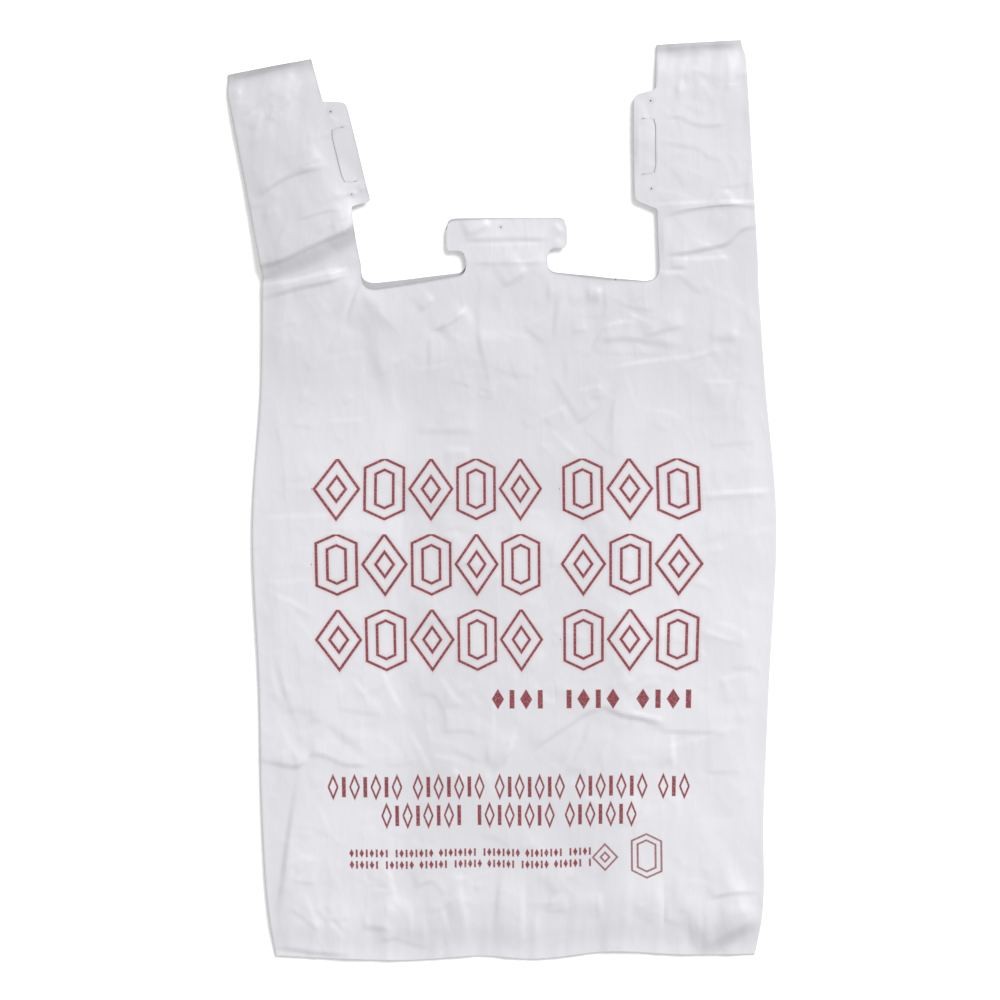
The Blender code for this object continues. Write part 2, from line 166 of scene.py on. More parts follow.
# How a crease rises: TONE_PER_SLOPE turns its tone into a slope, and one wider than WIDE_CREASE
# rises less for its width. Its far side falls away over a reach that grows with its width.
LIGHT_SIDE = np.array((0.61, 0.79))
TONE_PER_SLOPE = 52.0
WIDE_CREASE = 2.4
WIDE_FALL = 0.45
WIDTH_SHARE = 0.4
REACH_PER_WIDTH, REACH_MORE, REACH_SHARE = 5.0, 3.0, 0.5
LEAST_FACING = 0.6
END_TAPER, LEVEL_TAPER = 0.5, 0.28

# The small random creases: half lengths, bend, share of the tone, and widths.
CRINKLE_HALF = (3, 16)
CRINKLE_BEND = 0.25
CRINKLE_SHARE = (0.3, 1)
CRINKLE_WIDTH = (1.3, 3.2)

# The film's tones and its painted light and shade, added to 1, with where each starts and over what
# length it comes or goes.
# Painted shade: the inner side of the film is greyed as if in the bag's shade.
INSIDE_SHADE = 0.72
UPPER_TONE, UPPER_FROM, UPPER_BLEND = -0.035, 280, 70
# Painted light: the film lighter towards the foot, against the shade of its slope to the seal.
FOOT_PAINTED_LIGHT, FOOT_FADE = 0.026, 75
FOUR_PLIES_TONE, FOUR_PLIES_FROM, FOUR_PLIES_BLEND = 0.055, 58, 12
FOUR_PLIES_TOP, FOUR_PLIES_FADE = 300, 80
BESIDE_TAB = 60
TAB_TONE, TAB_FROM, TAB_TONE_BLEND, TAB_SIDE = 0.045, 405, 25, 45
LEFT_HANDLE_TONE, LEFT_HANDLE_FROM = -0.055, 415
# Painted shade, partly the fold's thicker film: the darker band of the left handle's pleat.
PLEAT_THICKNESS_AND_SHADE, PLEAT_AT, PLEAT_RISE = -0.05, 428, 0.41
PLEAT_HALF, PLEAT_NARROWING, LEAST_PLEAT, PLEAT_SOFTNESS = 14.5, 0.19, 3, 1.6
HALF_FOLD, HALF_FOLD_LEAN, HALF_FOLD_LINE = 271.0, 0.035, 2.5
# Painted shade on the side of the half fold turned from the light.
HALF_FOLD_SHADE, HALF_FOLD_FADE = -0.022, 90
SEAL_TONE, SEAL_FADE = -0.17, 5.5
# Painted shade: darker cut edges, and a dark line round the left fold.
RIM_SHADE, LEFT_FOLD_SHADE, LEFT_FOLD_FROM, LEFT_FOLD_WIDTH = -0.13, -0.12, 1.2, 1.4

# Patches of painted shade, as tone, middle x and y, half width, half height and lean: beside the
# foot of the left ear, in the right corner of the bag's foot, and above that.
SHADE_PATCHES = (
    (-0.035, -94, 455, 14, 13, 0),
    (-0.14, 132, 14, 20, 15, 0.35),
    (-0.045, 134, 50, 22, 26, 0),
)

# Creases, each as its tone (dark below 0), its width and the x, y of the points of its path on
# the table.
CREASES = (
    # left handle
    (-30, 4.9, -167, 257, -151, 260.5, -134, 265, -118, 268),
    (12, 2.4, -160, 253.5, -160, 244),
    (-12, 1.8, -159, 232.5, -149, 241, -140, 248, -133, 248.5),
    (8, 2.4, -150.5, 223.5, -146.5, 233, -144, 238),
    (-10, 1.8, -143.5, 232, -138.5, 240.5),
    (-10, 1.8, -138.5, 234.5, -132.5, 240.5, -126, 246.5),
    (8, 2.4, -127.5, 244.5, -121.5, 257.5),
    (-14, 2.4, -150.5, 183, -141, 190.5, -130, 197, -121.5, 200, -104.5, 202.5),
    (-8, 1.8, -130, 199, -120.5, 204, -109.5, 208.5),
    (-4, 1.8, -138.5, 206, -118, 213.5),
    (-8, 1.8, -125, 169.5, -112, 174.5, -96.5, 177),
    (-8, 1.8, -91.5, 183.5, -83, 191),
    # pleat at the left handle's root
    (-19, 11.6, -171, 136, -146.5, 138.5, -132.5, 141.5, -118, 147, -107, 153, -89, 162, -72, 171),
    (-16, 2.4, -166, 139.5, -146.5, 142.5, -132.5, 146.5, -118, 153.5, -107, 158.5, -89, 165.5,
     -74.5, 171.5),
    (14, 3.1, -161.5, 128.5, -146.5, 131, -126.5, 134, -107, 139, -90.5, 142),
    (-14, 2.4, -160, 120, -148, 122.5, -135, 126, -124, 129, -107, 132.5, -92, 137),
    (12, 3.7, -88, 141.5, -91, 129, -94, 120.5, -97.5, 107),
    (-11, 3.1, -86, 136, -91.5, 120, -96.5, 103.5),
    (-9, 7.3, -86, 129, -79.5, 114.5, -68, 101),
    # tab
    (-16, 1.8, -28.5, 158, -10.5, 158.5, 8, 159, 32, 159),
    (6, 1.8, -24.5, 155.5, 8, 156.5, 28, 156.5),
    (-12, 1.5, -22, 144, 3.5, 144, 29.5, 144),
    (-8, 4.9, -23, 160, -5.5, 167.5),
    (10, 4.9, 32.5, 170, 38, 163),
    # right handle
    (-30, 4.3, 93, 274, 112, 276, 129.5, 277, 148, 277.5),
    (-12, 4.9, 100, 272, 127, 273.5),
    (-12, 1.8, 94.5, 278.5, 94.5, 250),
    (-12, 1.8, 97, 181, 98, 138.5),
    (4, 3.7, 139.5, 276, 139.5, 260),
    (5, 2.4, 109, 260, 118.5, 265.5),
    (-8, 2.4, 106.5, 257.5, 106.5, 243.5),
    (-12, 1.8, 82, 248, 82, 188),
    (-12, 1.8, 98, 233, 109, 233, 116, 229.5, 123.5, 228, 138.5, 229.5),
    (-8, 1.8, 93.5, 218, 106.5, 216.5, 121, 213, 127, 208.5, 136.5, 207.5),
    (-10, 2.4, 149.5, 211, 149.5, 177),
    (7, 2.4, 87.5, 180, 124, 182, 164, 182.5),
    (-14, 2.1, 96.5, 172, 112.5, 176.5, 122, 178, 137, 179.5, 164, 177.5),
    (8, 1.8, 128.5, 182.5, 138, 190.5),
    (-16, 2.4, 96.5, 149, 115, 151, 127, 153.5, 138, 156.5, 146.5, 164.5, 162.5, 167),
    (6, 2.4, 99.5, 147, 121, 147.5, 142.5, 149),
    (-10, 1.8, 102.5, 141.5, 113.5, 142),
    (-10, 2.1, 106.5, 138, 118.5, 128, 124.5, 125),
    (10, 2.4, 95.5, 139, 112, 139),
    # under the mouth, left
    (-9, 1.8, -96.5, 109.5, -102.5, 97.5, -107.5, 89),
    (-7, 8.6, -88, 128, -82, 103.5, -75, 73, -67, 48.5),
    (-9, 1.5, -85.5, 126, -75, 113.5, -61, 98),
    (-10, 2.4, -49.5, 114.5, -40.5, 123),
    (14, 2.4, -41, 103.5, -31, 112, -21, 119.5),
    (-10, 1.8, -44, 102.5, -33.5, 106.5, -21, 114.5),
    (-9, 2.1, -45, 106.5, -44.5, 70.5),
    (-9, 1.8, -33, 73.5, -18.5, 68.5),
    (-8, 1.8, -14, 68, -3.5, 64.5),
    (-7, 1.8, -15.5, 63, -3.5, 62),
    (-6, 4.9, -56, 42, -13.5, 41),
    (6, 4.3, -36, 31, -19, 31),
    (-8, 3.7, -14.5, 139, -14, 95.5, -9, 73, -10.5, 48),
    (7, 2.4, -154, -12, -129.5, -10, -110.5, -9.5, -88.5, -8),
    (-4, 1.8, -149, 34.5, -133, 45, -106.5, 66.5, -88, 86.5),
    (-4, 1.8, -142.5, 103.5, -124, 108.5),
    # under the mouth, right
    (-10, 3.1, 0, 129, 17, 140),
    (-8, 2.4, 28, 136, 28, 118),
    (-8, 2.4, 35, 136, 33.5, 119.5, 30, 93),
    (-8, 3.1, 52, 133.5, 52.5, 119),
    (8, 2.4, 60, 133, 60, 117.5),
    (-8, 1.8, 63, 134, 63, 109),
    (-7, 2.4, 43, 102.5, 52, 103),
    (8, 2.4, 60, 105, 73.5, 109, 82.5, 108),
    (-10, 1.8, 54, 88.5, 58, 98.5, 65.5, 106),
    (-9, 1.8, 62.5, 124.5, 73.5, 119, 80, 117, 96.5, 115),
    (8, 2.4, 76.5, 114.5, 97, 106),
    (-10, 2.4, 85.5, 98.5, 100, 103.5, 113.5, 106),
    (-10, 4.3, 56, 95.5, 73.5, 98, 85, 97, 110.5, 93),
    (-4, 1.8, 61, 89, 102, 88.5),
    (8, 2.1, 64, 80.5, 80, 83.5, 102.5, 86.5, 119, 88.5, 135.5, 93),
    (-7, 1.8, 115, 85, 134.5, 91.5),
    (-8, 4.9, 126, 98, 145.5, 98),
    (-8, 2.4, 72.5, 73, 68, 59.5, 66.5, 24.5),
    (-9, 2.1, 28, 78, 38.5, 62, 48.5, 46),
    (-8, 1.8, 59.5, 57.5, 46, 45.5),
    (-8, 1.8, 48.5, 44.5, 67, 26),
    (8, 1.8, 46.5, 66.5, 61, 70.5),
    (8, 2.4, 24, 49, 38.5, 58.5),
    (7, 2.4, 27, 46.5, 47.5, 26),
    (-8, 2.4, 11.5, 107, 27.5, 94),
    (-7, 1.8, 39, 96, 39, 65.5),
    (9, 2.1, 118.5, 3.5, 142, 5, 167.5, 7),
    (-9, 1.8, 122, 1, 145.5, 2, 167.5, 3.5),
    (-4, 1.8, 126, 75.5, 126, 54),
    # middle, left
    (8, 1.8, -151, -50.5, -142.5, -55.5, -129.5, -61.5, -112.5, -72),
    (-7, 1.8, -150.5, -53, -141.5, -57.5, -112.5, -74),
    (10, 2.4, -141.5, -93, -137, -117, -131.5, -128.5),
    (-9, 2.4, -140, -93, -132, -119.5, -123.5, -144),
    (-8, 6.1, -127.5, -126, -110, -136, -93, -147.5, -78, -161.5),
    (-7, 2.4, -101.5, -127.5, -74, -131.5),
    (12, 2.1, -94, -105.5, -82, -119.5, -69.5, -134.5),
    (12, 2.1, -74.5, -98, -68.5, -114, -57, -134),
    (-9, 2.4, -55.5, -119.5, -41.5, -119.5, -36, -128.5, -33.5, -147),
    (12, 1.8, -39, -105.5, -24.5, -127),
    (-8, 1.8, -35.5, -126, -24, -125.5),
    (-9, 1.8, -38.5, -142.5, -31, -141, -13, -142.5),
    (12, 1.8, -59, -136, -50, -152, -40.5, -172.5),
    (12, 2.4, -31, -161.5, -21, -174),
    (8, 2.1, -44, -155, -24.5, -159),
    (-9, 2.4, -30.5, -152, -12, -161),
    (7, 1.5, -4.5, -106.5, -5, -134.5, -5.5, -163.5),
    (-7, 1.8, -9, -144.5, -9, -167),
    (11, 1.8, 10, -148, -5, -167.5),
    (-18, 2.4, -154, -157.5, -144, -160, -133, -162, -125, -163, -116, -153),
    (-16, 2.1, -121, -155.5, -110, -156, -97, -161.5, -80, -162),
    # middle, right
    (9, 2.1, 120.5, -78, 144, -87),
    (-9, 1.8, 120.5, -81.5, 149.5, -89.5),
    (-7, 1.8, 93, -84.5, 107, -84.5),
    (-4, 1.8, 74.5, -114.5, 85.5, -108.5, 113, -111.5),
    (-22, 2.4, 57.5, -124.5, 65, -128, 73.5, -131.5, 89, -134.5, 101.5, -139),
    (-12, 1.8, 86, -134, 99, -141, 107, -141.5, 141, -142.5),
    (8, 3.1, 77.5, -128, 99.5, -134.5),
    (-11, 2.4, 16, -154.5, 30, -145, 42, -137, 52, -130.5, 68.5, -125),
    (13, 2.4, 52, -133, 44.5, -149, 35, -167),
    (-8, 2.4, 55, -134, 48.5, -150, 38.5, -167.5),
    (14, 3.1, 104.5, -139, 105.5, -169.5),
    (11, 2.4, 10, -138.5, 1, -165.5),
    (-8, 1.8, 123, -166.5, 147.5, -166.5),
    # foot, left
    (-16, 3.1, -123.5, -161.5, -130, -200.5, -134.5, -234.5, -138.5, -263),
    (-5, 1.8, -129.5, -200, -112, -202, -94, -215),
    (-8, 2.4, -127.5, -233, -113, -234.5),
    (-9, 2.4, -132, -248, -121, -255.5, -109.5, -265.5),
    (9, 2.4, -121, -236, -116.5, -248, -109.5, -270),
    (-8, 2.4, -115, -248.5, -104.5, -260),
    (8, 2.4, -109.5, -252.5, -94.5, -268.5),
    (-8, 2.4, -104.5, -254, -94.5, -265.5),
    (-30, 3.7, -155, -272, -143, -273.5, -129.5, -274.5, -115.5, -276.5, -90.5, -278.5),
    (-12, 4.3, -86.5, -261, -68.5, -262.5),
    (-12, 2.4, -77, -271, -64.5, -268, -57, -271, -42.5, -273.5),
    (13, 2.4, -69, -224.5, -64, -244.5),
    (-8, 6.1, -71, -240, -71, -260.5),
    (11, 2.4, -55, -242.5, -55, -270),
    (8, 2.4, -47, -251.5, -47, -271),
    (12, 2.4, -38, -242.5, -30, -271.5),
    (12, 4.9, -28, -222.5, -23, -248, -19.5, -274),
    (-9, 2.4, -53.5, -237.5, -43.5, -233, -34, -243.5),
    (-9, 3.7, -0.5, -220.5, -6, -274),
    # foot, right
    (12, 3.1, 13, -225, 13, -282.5),
    (8, 2.4, 22, -251, 21, -274.5),
    (-9, 3.1, 46.5, -225, 31, -243.5),
    (11, 2.4, 60, -237, 61, -257),
    (7, 1.8, 39.5, -238.5, 39.5, -254),
    (7, 1.8, 78, -246.5, 78, -263.5),
    (8, 1.8, 96, -249.5, 90, -260),
    (12, 5.5, 96.5, -225, 97, -244.5, 97, -262),
    (-10, 2.4, 100, -236, 100, -271.5),
    (-12, 2.4, 124.5, -244, 138.5, -240.5, 159.5, -240.5),
    (4, 6.1, 132, -249, 159.5, -249),
    (-24, 9.2, 118.5, -279, 136.5, -269, 162.5, -255.5),
    (-7, 3.1, 97, -255.5, 110.5, -260),
    (-7, 1.8, 115, -238.5, 115, -281.5),
    (-7, 1.8, 119, -240, 119, -280),
    (-7, 1.8, 123.5, -240.5, 123.5, -281.5),
)


# ---------------------------------------------------------------- numbers and curves


def smooth(share):
    """Share squared times three less twice the share, held between 0 and 1."""
    share = np.clip(share, 0, 1)
    return share * share * (3 - 2 * share)


def bell(offset, width):
    """1 where the offset is 0, falling to nothing over the width on both sides."""
    return np.exp(-((offset / width) ** 2))


def through(stations, values, at):
    """A cubic curve through the values at the stations, whose slope at each station is that of
    the line between its two neighbours."""
    stations = np.array(stations, float)
    values = np.array(values, float)
    slopes = np.gradient(values, stations)
    at = np.clip(at, stations[0], stations[-1])
    piece = np.clip(np.searchsorted(stations, at) - 1, 0, len(stations) - 2)
    span = stations[piece + 1] - stations[piece]
    t = (at - stations[piece]) / span
    start = values[piece] * (1 + 2 * t) + slopes[piece] * span * t
    end = values[piece + 1] * (3 - 2 * t) - slopes[piece + 1] * span * (1 - t)
    return start * (1 - t) ** 2 + end * t**2


def spread(stops, spacing):
    """Numbers from the first stop to the last, evenly spaced between stops, none further apart
    than the spacing."""
    parts = [
        np.linspace(a, b, max(1, math.ceil(abs(b - a) / spacing)) + 1)[:-1]
        for a, b in zip(stops[:-1], stops[1:])
    ]
    return np.concatenate(parts + [[stops[-1]]])


def fillet(corner, before, after, radius):
    """The parabola that rounds a corner: start (1-t)^2 + corner 2t(1-t) + end t^2."""
    corner, before, after = (np.array(p, float) for p in (corner, before, after))
    reach = [np.linalg.norm(before - corner), np.linalg.norm(after - corner)]
    back = (before - corner) / reach[0]
    ahead = (after - corner) / reach[1]
    half_angle = math.acos(np.clip(back @ ahead, -1, 1)) / 2
    cut = min(radius / math.tan(half_angle), reach[0] / 2, reach[1] / 2)
    start, end = corner + back * cut, corner + ahead * cut
    t = np.linspace(0, 1, FILLET_STEPS + 1)[:, None]
    return start * (1 - t) ** 2 + corner * 2 * t * (1 - t) + end * t**2


def die_paths():
    """The die's path on the right half, in four pieces: the mouth from the tab's root to the
    handle's root, the tab's underside, its top, and the ear's outline from low to high."""
    neck, half_tab = NECK_WIDTH / 2, TAB_WIDTH / 2
    root = (neck, MOUTH_AT_TAB)
    mouth_corner = (INNER_EDGE, MOUTH_HEIGHT)
    ear = [
        (INNER_EDGE, EAR_BOTTOM, EAR_ROOT_CORNER),
        (INNER_EDGE - EAR_REACH, EAR_BOTTOM + EAR_LOW_TAPER, EAR_CORNER),
        (INNER_EDGE - EAR_REACH, EAR_TOP - EAR_HIGH_TAPER, EAR_CORNER),
        (INNER_EDGE, EAR_TOP, EAR_ROOT_CORNER),
    ]
    mouth = np.vstack((
        fillet(root, (neck, HEAD_BOTTOM), mouth_corner, NECK_CORNER),
        fillet(mouth_corner, root, (INNER_EDGE, EAR_BOTTOM), MOUTH_CORNER),
    ))
    under = np.vstack((
        fillet((neck, HEAD_BOTTOM), root, (half_tab, HEAD_BOTTOM), NECK_CORNER),
        fillet((half_tab, HEAD_BOTTOM), (neck, HEAD_BOTTOM), (half_tab, TAB_TOP), TAB_CORNER / 2),
    ))
    top = fillet((half_tab, TAB_TOP), (0, TAB_TOP), (half_tab, HEAD_BOTTOM), TAB_CORNER)
    stops = [mouth_corner] + [p[:2] for p in ear] + [(INNER_EDGE, BAG_LENGTH)]
    outline = np.vstack([
        fillet(p[:2], stops[i], stops[i + 2], p[2]) for i, p in enumerate(ear)
    ])
    return mouth, under, top, outline


# ---------------------------------------------------------------- the flat pattern as grids


class FlatPattern:
    """The pattern's grids, gathered as flat points (x, y, z), the keys that tell which of them
    are one point, and quads."""

    def __init__(self):
        self.points = []
        self.keys = []
        self.quads = []
        self.count = 0

    def add(self, x, y, z, torn=None):
        """Adds a grid whose rows run up the bag and whose columns run round the tube, so that its
        quads run counter clockwise seen from outside. torn marks the points that lie on the
        slit's flap, which weld only to each other."""
        x, y, z = np.broadcast_arrays(x, y, z)
        torn = np.zeros(x.shape) if torn is None else torn
        flat = np.stack([x, y, z], axis=-1).reshape(-1, 3)
        key = np.rint(flat * KEYS_PER_MM).astype(np.int64)
        self.points.append(flat)
        self.keys.append(np.column_stack([key, torn.reshape(-1)]).astype(np.int64))
        ids = np.arange(x.size).reshape(x.shape) + self.count
        quad = np.stack([ids[:-1, :-1], ids[:-1, 1:], ids[1:, 1:], ids[1:, :-1]], axis=-1)
        self.quads.append(quad.reshape(-1, 4))
        self.count += x.size

    def welded(self):
        """The points with equal keys made one, and the quads without those that fell flat."""
        points, keys = np.vstack(self.points), np.vstack(self.keys)
        unique, first, inverse = np.unique(keys, axis=0, return_index=True, return_inverse=True)
        quads = inverse.reshape(-1)[np.vstack(self.quads)]
        nexts = np.roll(quads, -1, axis=1)
        distinct = (quads != nexts).sum(axis=1)
        return points[first], unique[:, 3] > 0, quads[distinct >= 3], inverse.reshape(-1)


def in_order(forwards):
    """The slice that keeps a grid's columns in order, or turns them about."""
    return slice(None, None, 1 if forwards else -1)


def ply_mid(level):
    """The height of a ply's middle in the flat stack, from BACK at the bottom to FRONT on top."""
    return FILM / 2 + PITCH * level


def fold_points(centre_x, low_level, outwards):
    """Points round a fold between two plies, from the upper to the lower, ends left out."""
    angle = np.radians([50.0, 0.0, -50.0])
    z = ply_mid(low_level) + FOLD_RADIUS
    side = 1 if outwards else -1
    return centre_x + side * FOLD_RADIUS * np.cos(angle), z + FOLD_RADIUS * np.sin(angle)


def half_loop(front_x, hidden_x):
    """Columns round the right half of the tube, from the front's middle to the back's: x, height
    and ply. hidden_x are the coarser columns of the plies that lie under."""
    gusset = hidden_x[hidden_x > INNER_FOLD + 1]
    gusset = np.concatenate([[INNER_FOLD], gusset])
    fold_top = fold_points(SIDE_FOLD, 2, True)
    fold_in = fold_points(INNER_FOLD, 1, False)
    fold_low = fold_points(SIDE_FOLD, 0, True)
    x = [front_x, fold_top[0], gusset[::-1], fold_in[0], gusset, fold_low[0], hidden_x[::-1]]
    z = [
        np.full(len(front_x), ply_mid(FRONT)), fold_top[1], np.full(len(gusset), ply_mid(2)),
        fold_in[1], np.full(len(gusset), ply_mid(1)), fold_low[1],
        np.full(len(hidden_x), ply_mid(BACK)),
    ]
    return np.concatenate(x), np.concatenate(z)


def corner_columns(mouth):
    """The x of columns that follow the mouth's two rounded corners."""
    return mouth[: FILLET_STEPS + 1, 0], mouth[FILLET_STEPS + 1 :, 0]


def ear_rows(outline, step):
    """The heights of the ear's rows: through each of the outline's four rounded corners, and
    between them, with rows on the pin and on both ends of the slit."""
    arcs = outline[:, 1].reshape(-1, FILLET_STEPS + 1)
    parts = [arcs[0]]
    between = (((), EAR_CORNER_STEP), ((PINS[0][1], SLIT_LOW, SLIT_HIGH), step), ((), EAR_ROOT_STEP))
    for low, high, (stops, spacing) in zip(arcs[:-1], arcs[1:], between):
        parts += [spread([low[-1], *stops, high[0]], spacing)[1:-1], high]
    return np.concatenate(parts)


def add_ear(pattern, side, level, inward, rows, spacing):
    """One ply of one ear in three grids, below, beside and above the slit, whose flap is torn
    from the rest. inward is the x of the ear's outline at each row."""
    part = spread([0, SLIT_REACH / EAR_REACH, 1], spacing / EAR_REACH)[None, ::-1]
    ear_x = INNER_EDGE + (inward - INNER_EDGE) * part
    way = in_order((level in (FRONT, 1)) == (side > 0))
    cuts = [0, np.argmin(abs(rows - SLIT_LOW)), np.argmin(abs(rows - SLIT_HIGH)), len(rows) - 1]
    for low, high in zip(cuts[:-1], cuts[1:]):
        x = ear_x[low : high + 1]
        y = np.broadcast_to(rows[low : high + 1, None], x.shape)
        torn = np.zeros(x.shape)
        if low == cuts[1]:
            ends = np.zeros(x.shape, bool)
            ends[0], ends[-1] = True, True
            torn = (x > INNER_EDGE - SAME) | (ends & (x > INNER_EDGE - SLIT_REACH + SAME))
        pattern.add(side * x[:, way], y[:, way], ply_mid(level), torn[:, way].astype(float))


def add_handles(pattern, outline, front_x, hidden_x, root_y, step, hidden_step):
    """The two handles, each a front pair and a back pair of plies that join round the side fold,
    and their ears."""
    rows_at_ear = ear_rows(outline, step)
    rows = np.concatenate([
        spread([root_y, rows_at_ear[0]], step)[:-1], rows_at_ear,
        spread([rows_at_ear[-1], BAG_LENGTH - SEAL_LENGTH, BAG_LENGTH], step)[1:],
    ])[:, None]
    over = front_x[front_x > INNER_EDGE - SAME]
    under = hidden_x[hidden_x > INNER_EDGE - SAME]
    pairs = []
    for level, upper_x in ((2, over), (BACK, under)):
        fold_x, fold_z = fold_points(SIDE_FOLD, level, True)
        pairs.append((
            np.concatenate([upper_x, fold_x, under[::-1]]),
            np.concatenate([np.full(len(upper_x), ply_mid(level + 1)), fold_z,
                            np.full(len(under), ply_mid(level))]),
        ))
    inward = np.interp(rows_at_ear, outline[:, 1], outline[:, 0])[:, None]
    for side in (1, -1):
        way = in_order(side > 0)
        for x, z in pairs:
            pattern.add(side * x[way], rows, z[way])
        for level in range(BACK, FRONT + 1):
            spacing = step if level == FRONT else hidden_step / 2
            add_ear(pattern, side, level, inward, rows_at_ear, spacing)


def add_tab(pattern, under, top, front_x, hidden_x, neck_y, step, hidden_step):
    """The tab's neck and the two wings of its head, on the front and the back ply."""
    neck, half_tab = NECK_WIDTH / 2, TAB_WIDTH / 2
    low_neck = under[0, 1]
    under, top = under[np.argsort(under[:, 0])], top[np.argsort(top[:, 0])]
    head = spread([low_neck, TAB_TOP], step)
    neck_rows = np.concatenate([spread([neck_y, low_neck], step)[:-1], head])[:, None]
    up = (head[:, None] - low_neck) / (TAB_TOP - low_neck)
    for level, x in ((FRONT, front_x), (BACK, hidden_x)):
        spacing = step if level == FRONT else hidden_step / 2
        in_neck = x[x < neck + SAME]
        across = np.concatenate([-in_neck[::-1][:-1], in_neck])
        wing_x = spread([neck, half_tab - TAB_CORNER, half_tab], min(spacing, WING_STEP))
        wing_low = np.interp(wing_x, under[:, 0], under[:, 1])
        wing_y = wing_low + up * (np.interp(wing_x, top[:, 0], top[:, 1]) - wing_low)
        z, way = ply_mid(level), in_order(level == FRONT)
        pattern.add(across[way], neck_rows, z)
        pattern.add(wing_x[way], wing_y[:, way], z)
        pattern.add(-wing_x[::-1][way], wing_y[:, ::-1][:, way], z)


def make_pattern(step, hidden_step):
    """All the grids of the tube, in flat millimetres. Returns the points, which of them are torn,
    the quads, and the loops of points round the foot and at MOUTH_BAND."""
    mouth, under, top, outline = die_paths()
    by_neck, by_handle = corner_columns(mouth)

    def columns(spacing):
        inner = spread([0, NECK_WIDTH / 2], spacing)[:-1]
        middle = spread([by_neck[-1], by_handle[0]], spacing)
        handle = spread([INNER_EDGE, SIDE_FOLD], spacing)
        return np.concatenate([inner, by_neck, middle[1:], by_handle[1:], handle[1:]])

    front_x, hidden_x = columns(step), columns(hidden_step)
    path = mouth[np.argsort(mouth[:, 0])]
    x, z = half_loop(front_x, hidden_x)
    loop_x = np.concatenate([x, -x[::-1][1:]])
    loop_z = np.concatenate([z, z[::-1][1:]])
    rows = np.concatenate([
        spread([0, SEAL_LENGTH, FOOT_ROWS], step), spread(MIDDLE_ROWS, step * MIDDLE_STEP)[1:],
        spread([MIDDLE_ROWS[-1], MOUTH_BAND], step)[1:],
    ])
    body_y = np.broadcast_to(rows[:, None], (len(rows), len(loop_x)))
    rise = MOUTH_HEIGHT - MOUTH_BAND
    share = spread([0, rise], step * BAND_STEP)[:, None] / rise
    reach = np.interp(np.abs(loop_x), path[:, 0], path[:, 1]) - MOUTH_BAND
    pattern = FlatPattern()
    pattern.add(loop_x, body_y, loop_z)
    pattern.add(loop_x, MOUTH_BAND + share * reach, loop_z)
    add_handles(pattern, outline, front_x, hidden_x, path[-1, 1], step, hidden_step)
    add_tab(pattern, under, top, front_x, hidden_x, path[0, 1], step, hidden_step)
    flat, torn, quads, welds = pattern.welded()
    turns = len(loop_x) - 1
    return flat, torn, quads, welds[:turns], welds[body_y.size : body_y.size + turns]


# ---------------------------------------------------------------- laying the film down


def punch(points, quads, centre, radius):
    """Cuts a pin hole in the front ply: the faces round the nearest point go, and the ring of
    points about them moves onto the pin's circle."""
    centre = np.array(centre)
    front = points[:, 2] > ply_mid(FRONT) - SAME
    away = np.linalg.norm(points[:, :2] - centre, axis=1) + np.where(front, 0, FAR)
    near = np.argmin(away)
    gone = (quads == near).any(axis=1)
    ring = np.setdiff1d(quads[gone], [near])
    out = points[ring, :2] - points[near, :2]
    points[ring, :2] = centre + out / np.linalg.norm(out, axis=1)[:, None] * radius
    return quads[~gone]


def open_slits(points, torn, width):
    """Draws the slit's flap back from its edge by the slit's width, and rounds the two corners
    of the slit by a bell-shaped shift towards the ear."""
    side = np.sign(points[:, 0])
    x, y = np.abs(points[:, 0]), points[:, 1]
    for low, up in ((SLIT_LOW, 1), (SLIT_HIGH, -1)):
        shift = SLIT_ROUNDING * bell(np.hypot(x - INNER_EDGE, y - low), SLIT_ROUNDING_REACH)
        points[:, 0] -= side * shift
        points[:, 1] += up * shift
    on_edge = torn & (x > INNER_EDGE - SAME)
    points[on_edge, 0] -= side[on_edge] * width
    points[torn & (y < SLIT_LOW + SAME), 1] += width
    points[torn & (y > SLIT_HIGH - SAME), 1] -= width


def lean_handle(x, y, side, lean, pleat):
    """Turns one handle about a pivot beside its root, eased in over LEAN_BLEND, and lets it slip
    down by the pleat."""
    pivot = side * INNER_EDGE if side < 0 else HALF_WIDTH
    hinge = MOUTH_HEIGHT + LEAN_HEIGHT
    bent = smooth((y - hinge + LEAN_BLEND) / (2 * LEAN_BLEND))
    clear_of_tab = (TAB_WIDTH / 2 + INNER_EDGE - EAR_REACH) / 2
    bent = np.where(x * side > clear_of_tab, bent, 0.0)
    dx, dy = x - pivot, y - hinge - pleat * bent
    turn = lean * bent
    return pivot + dx * np.cos(turn) - dy * np.sin(turn), hinge + dx * np.sin(turn) + dy * np.cos(turn)


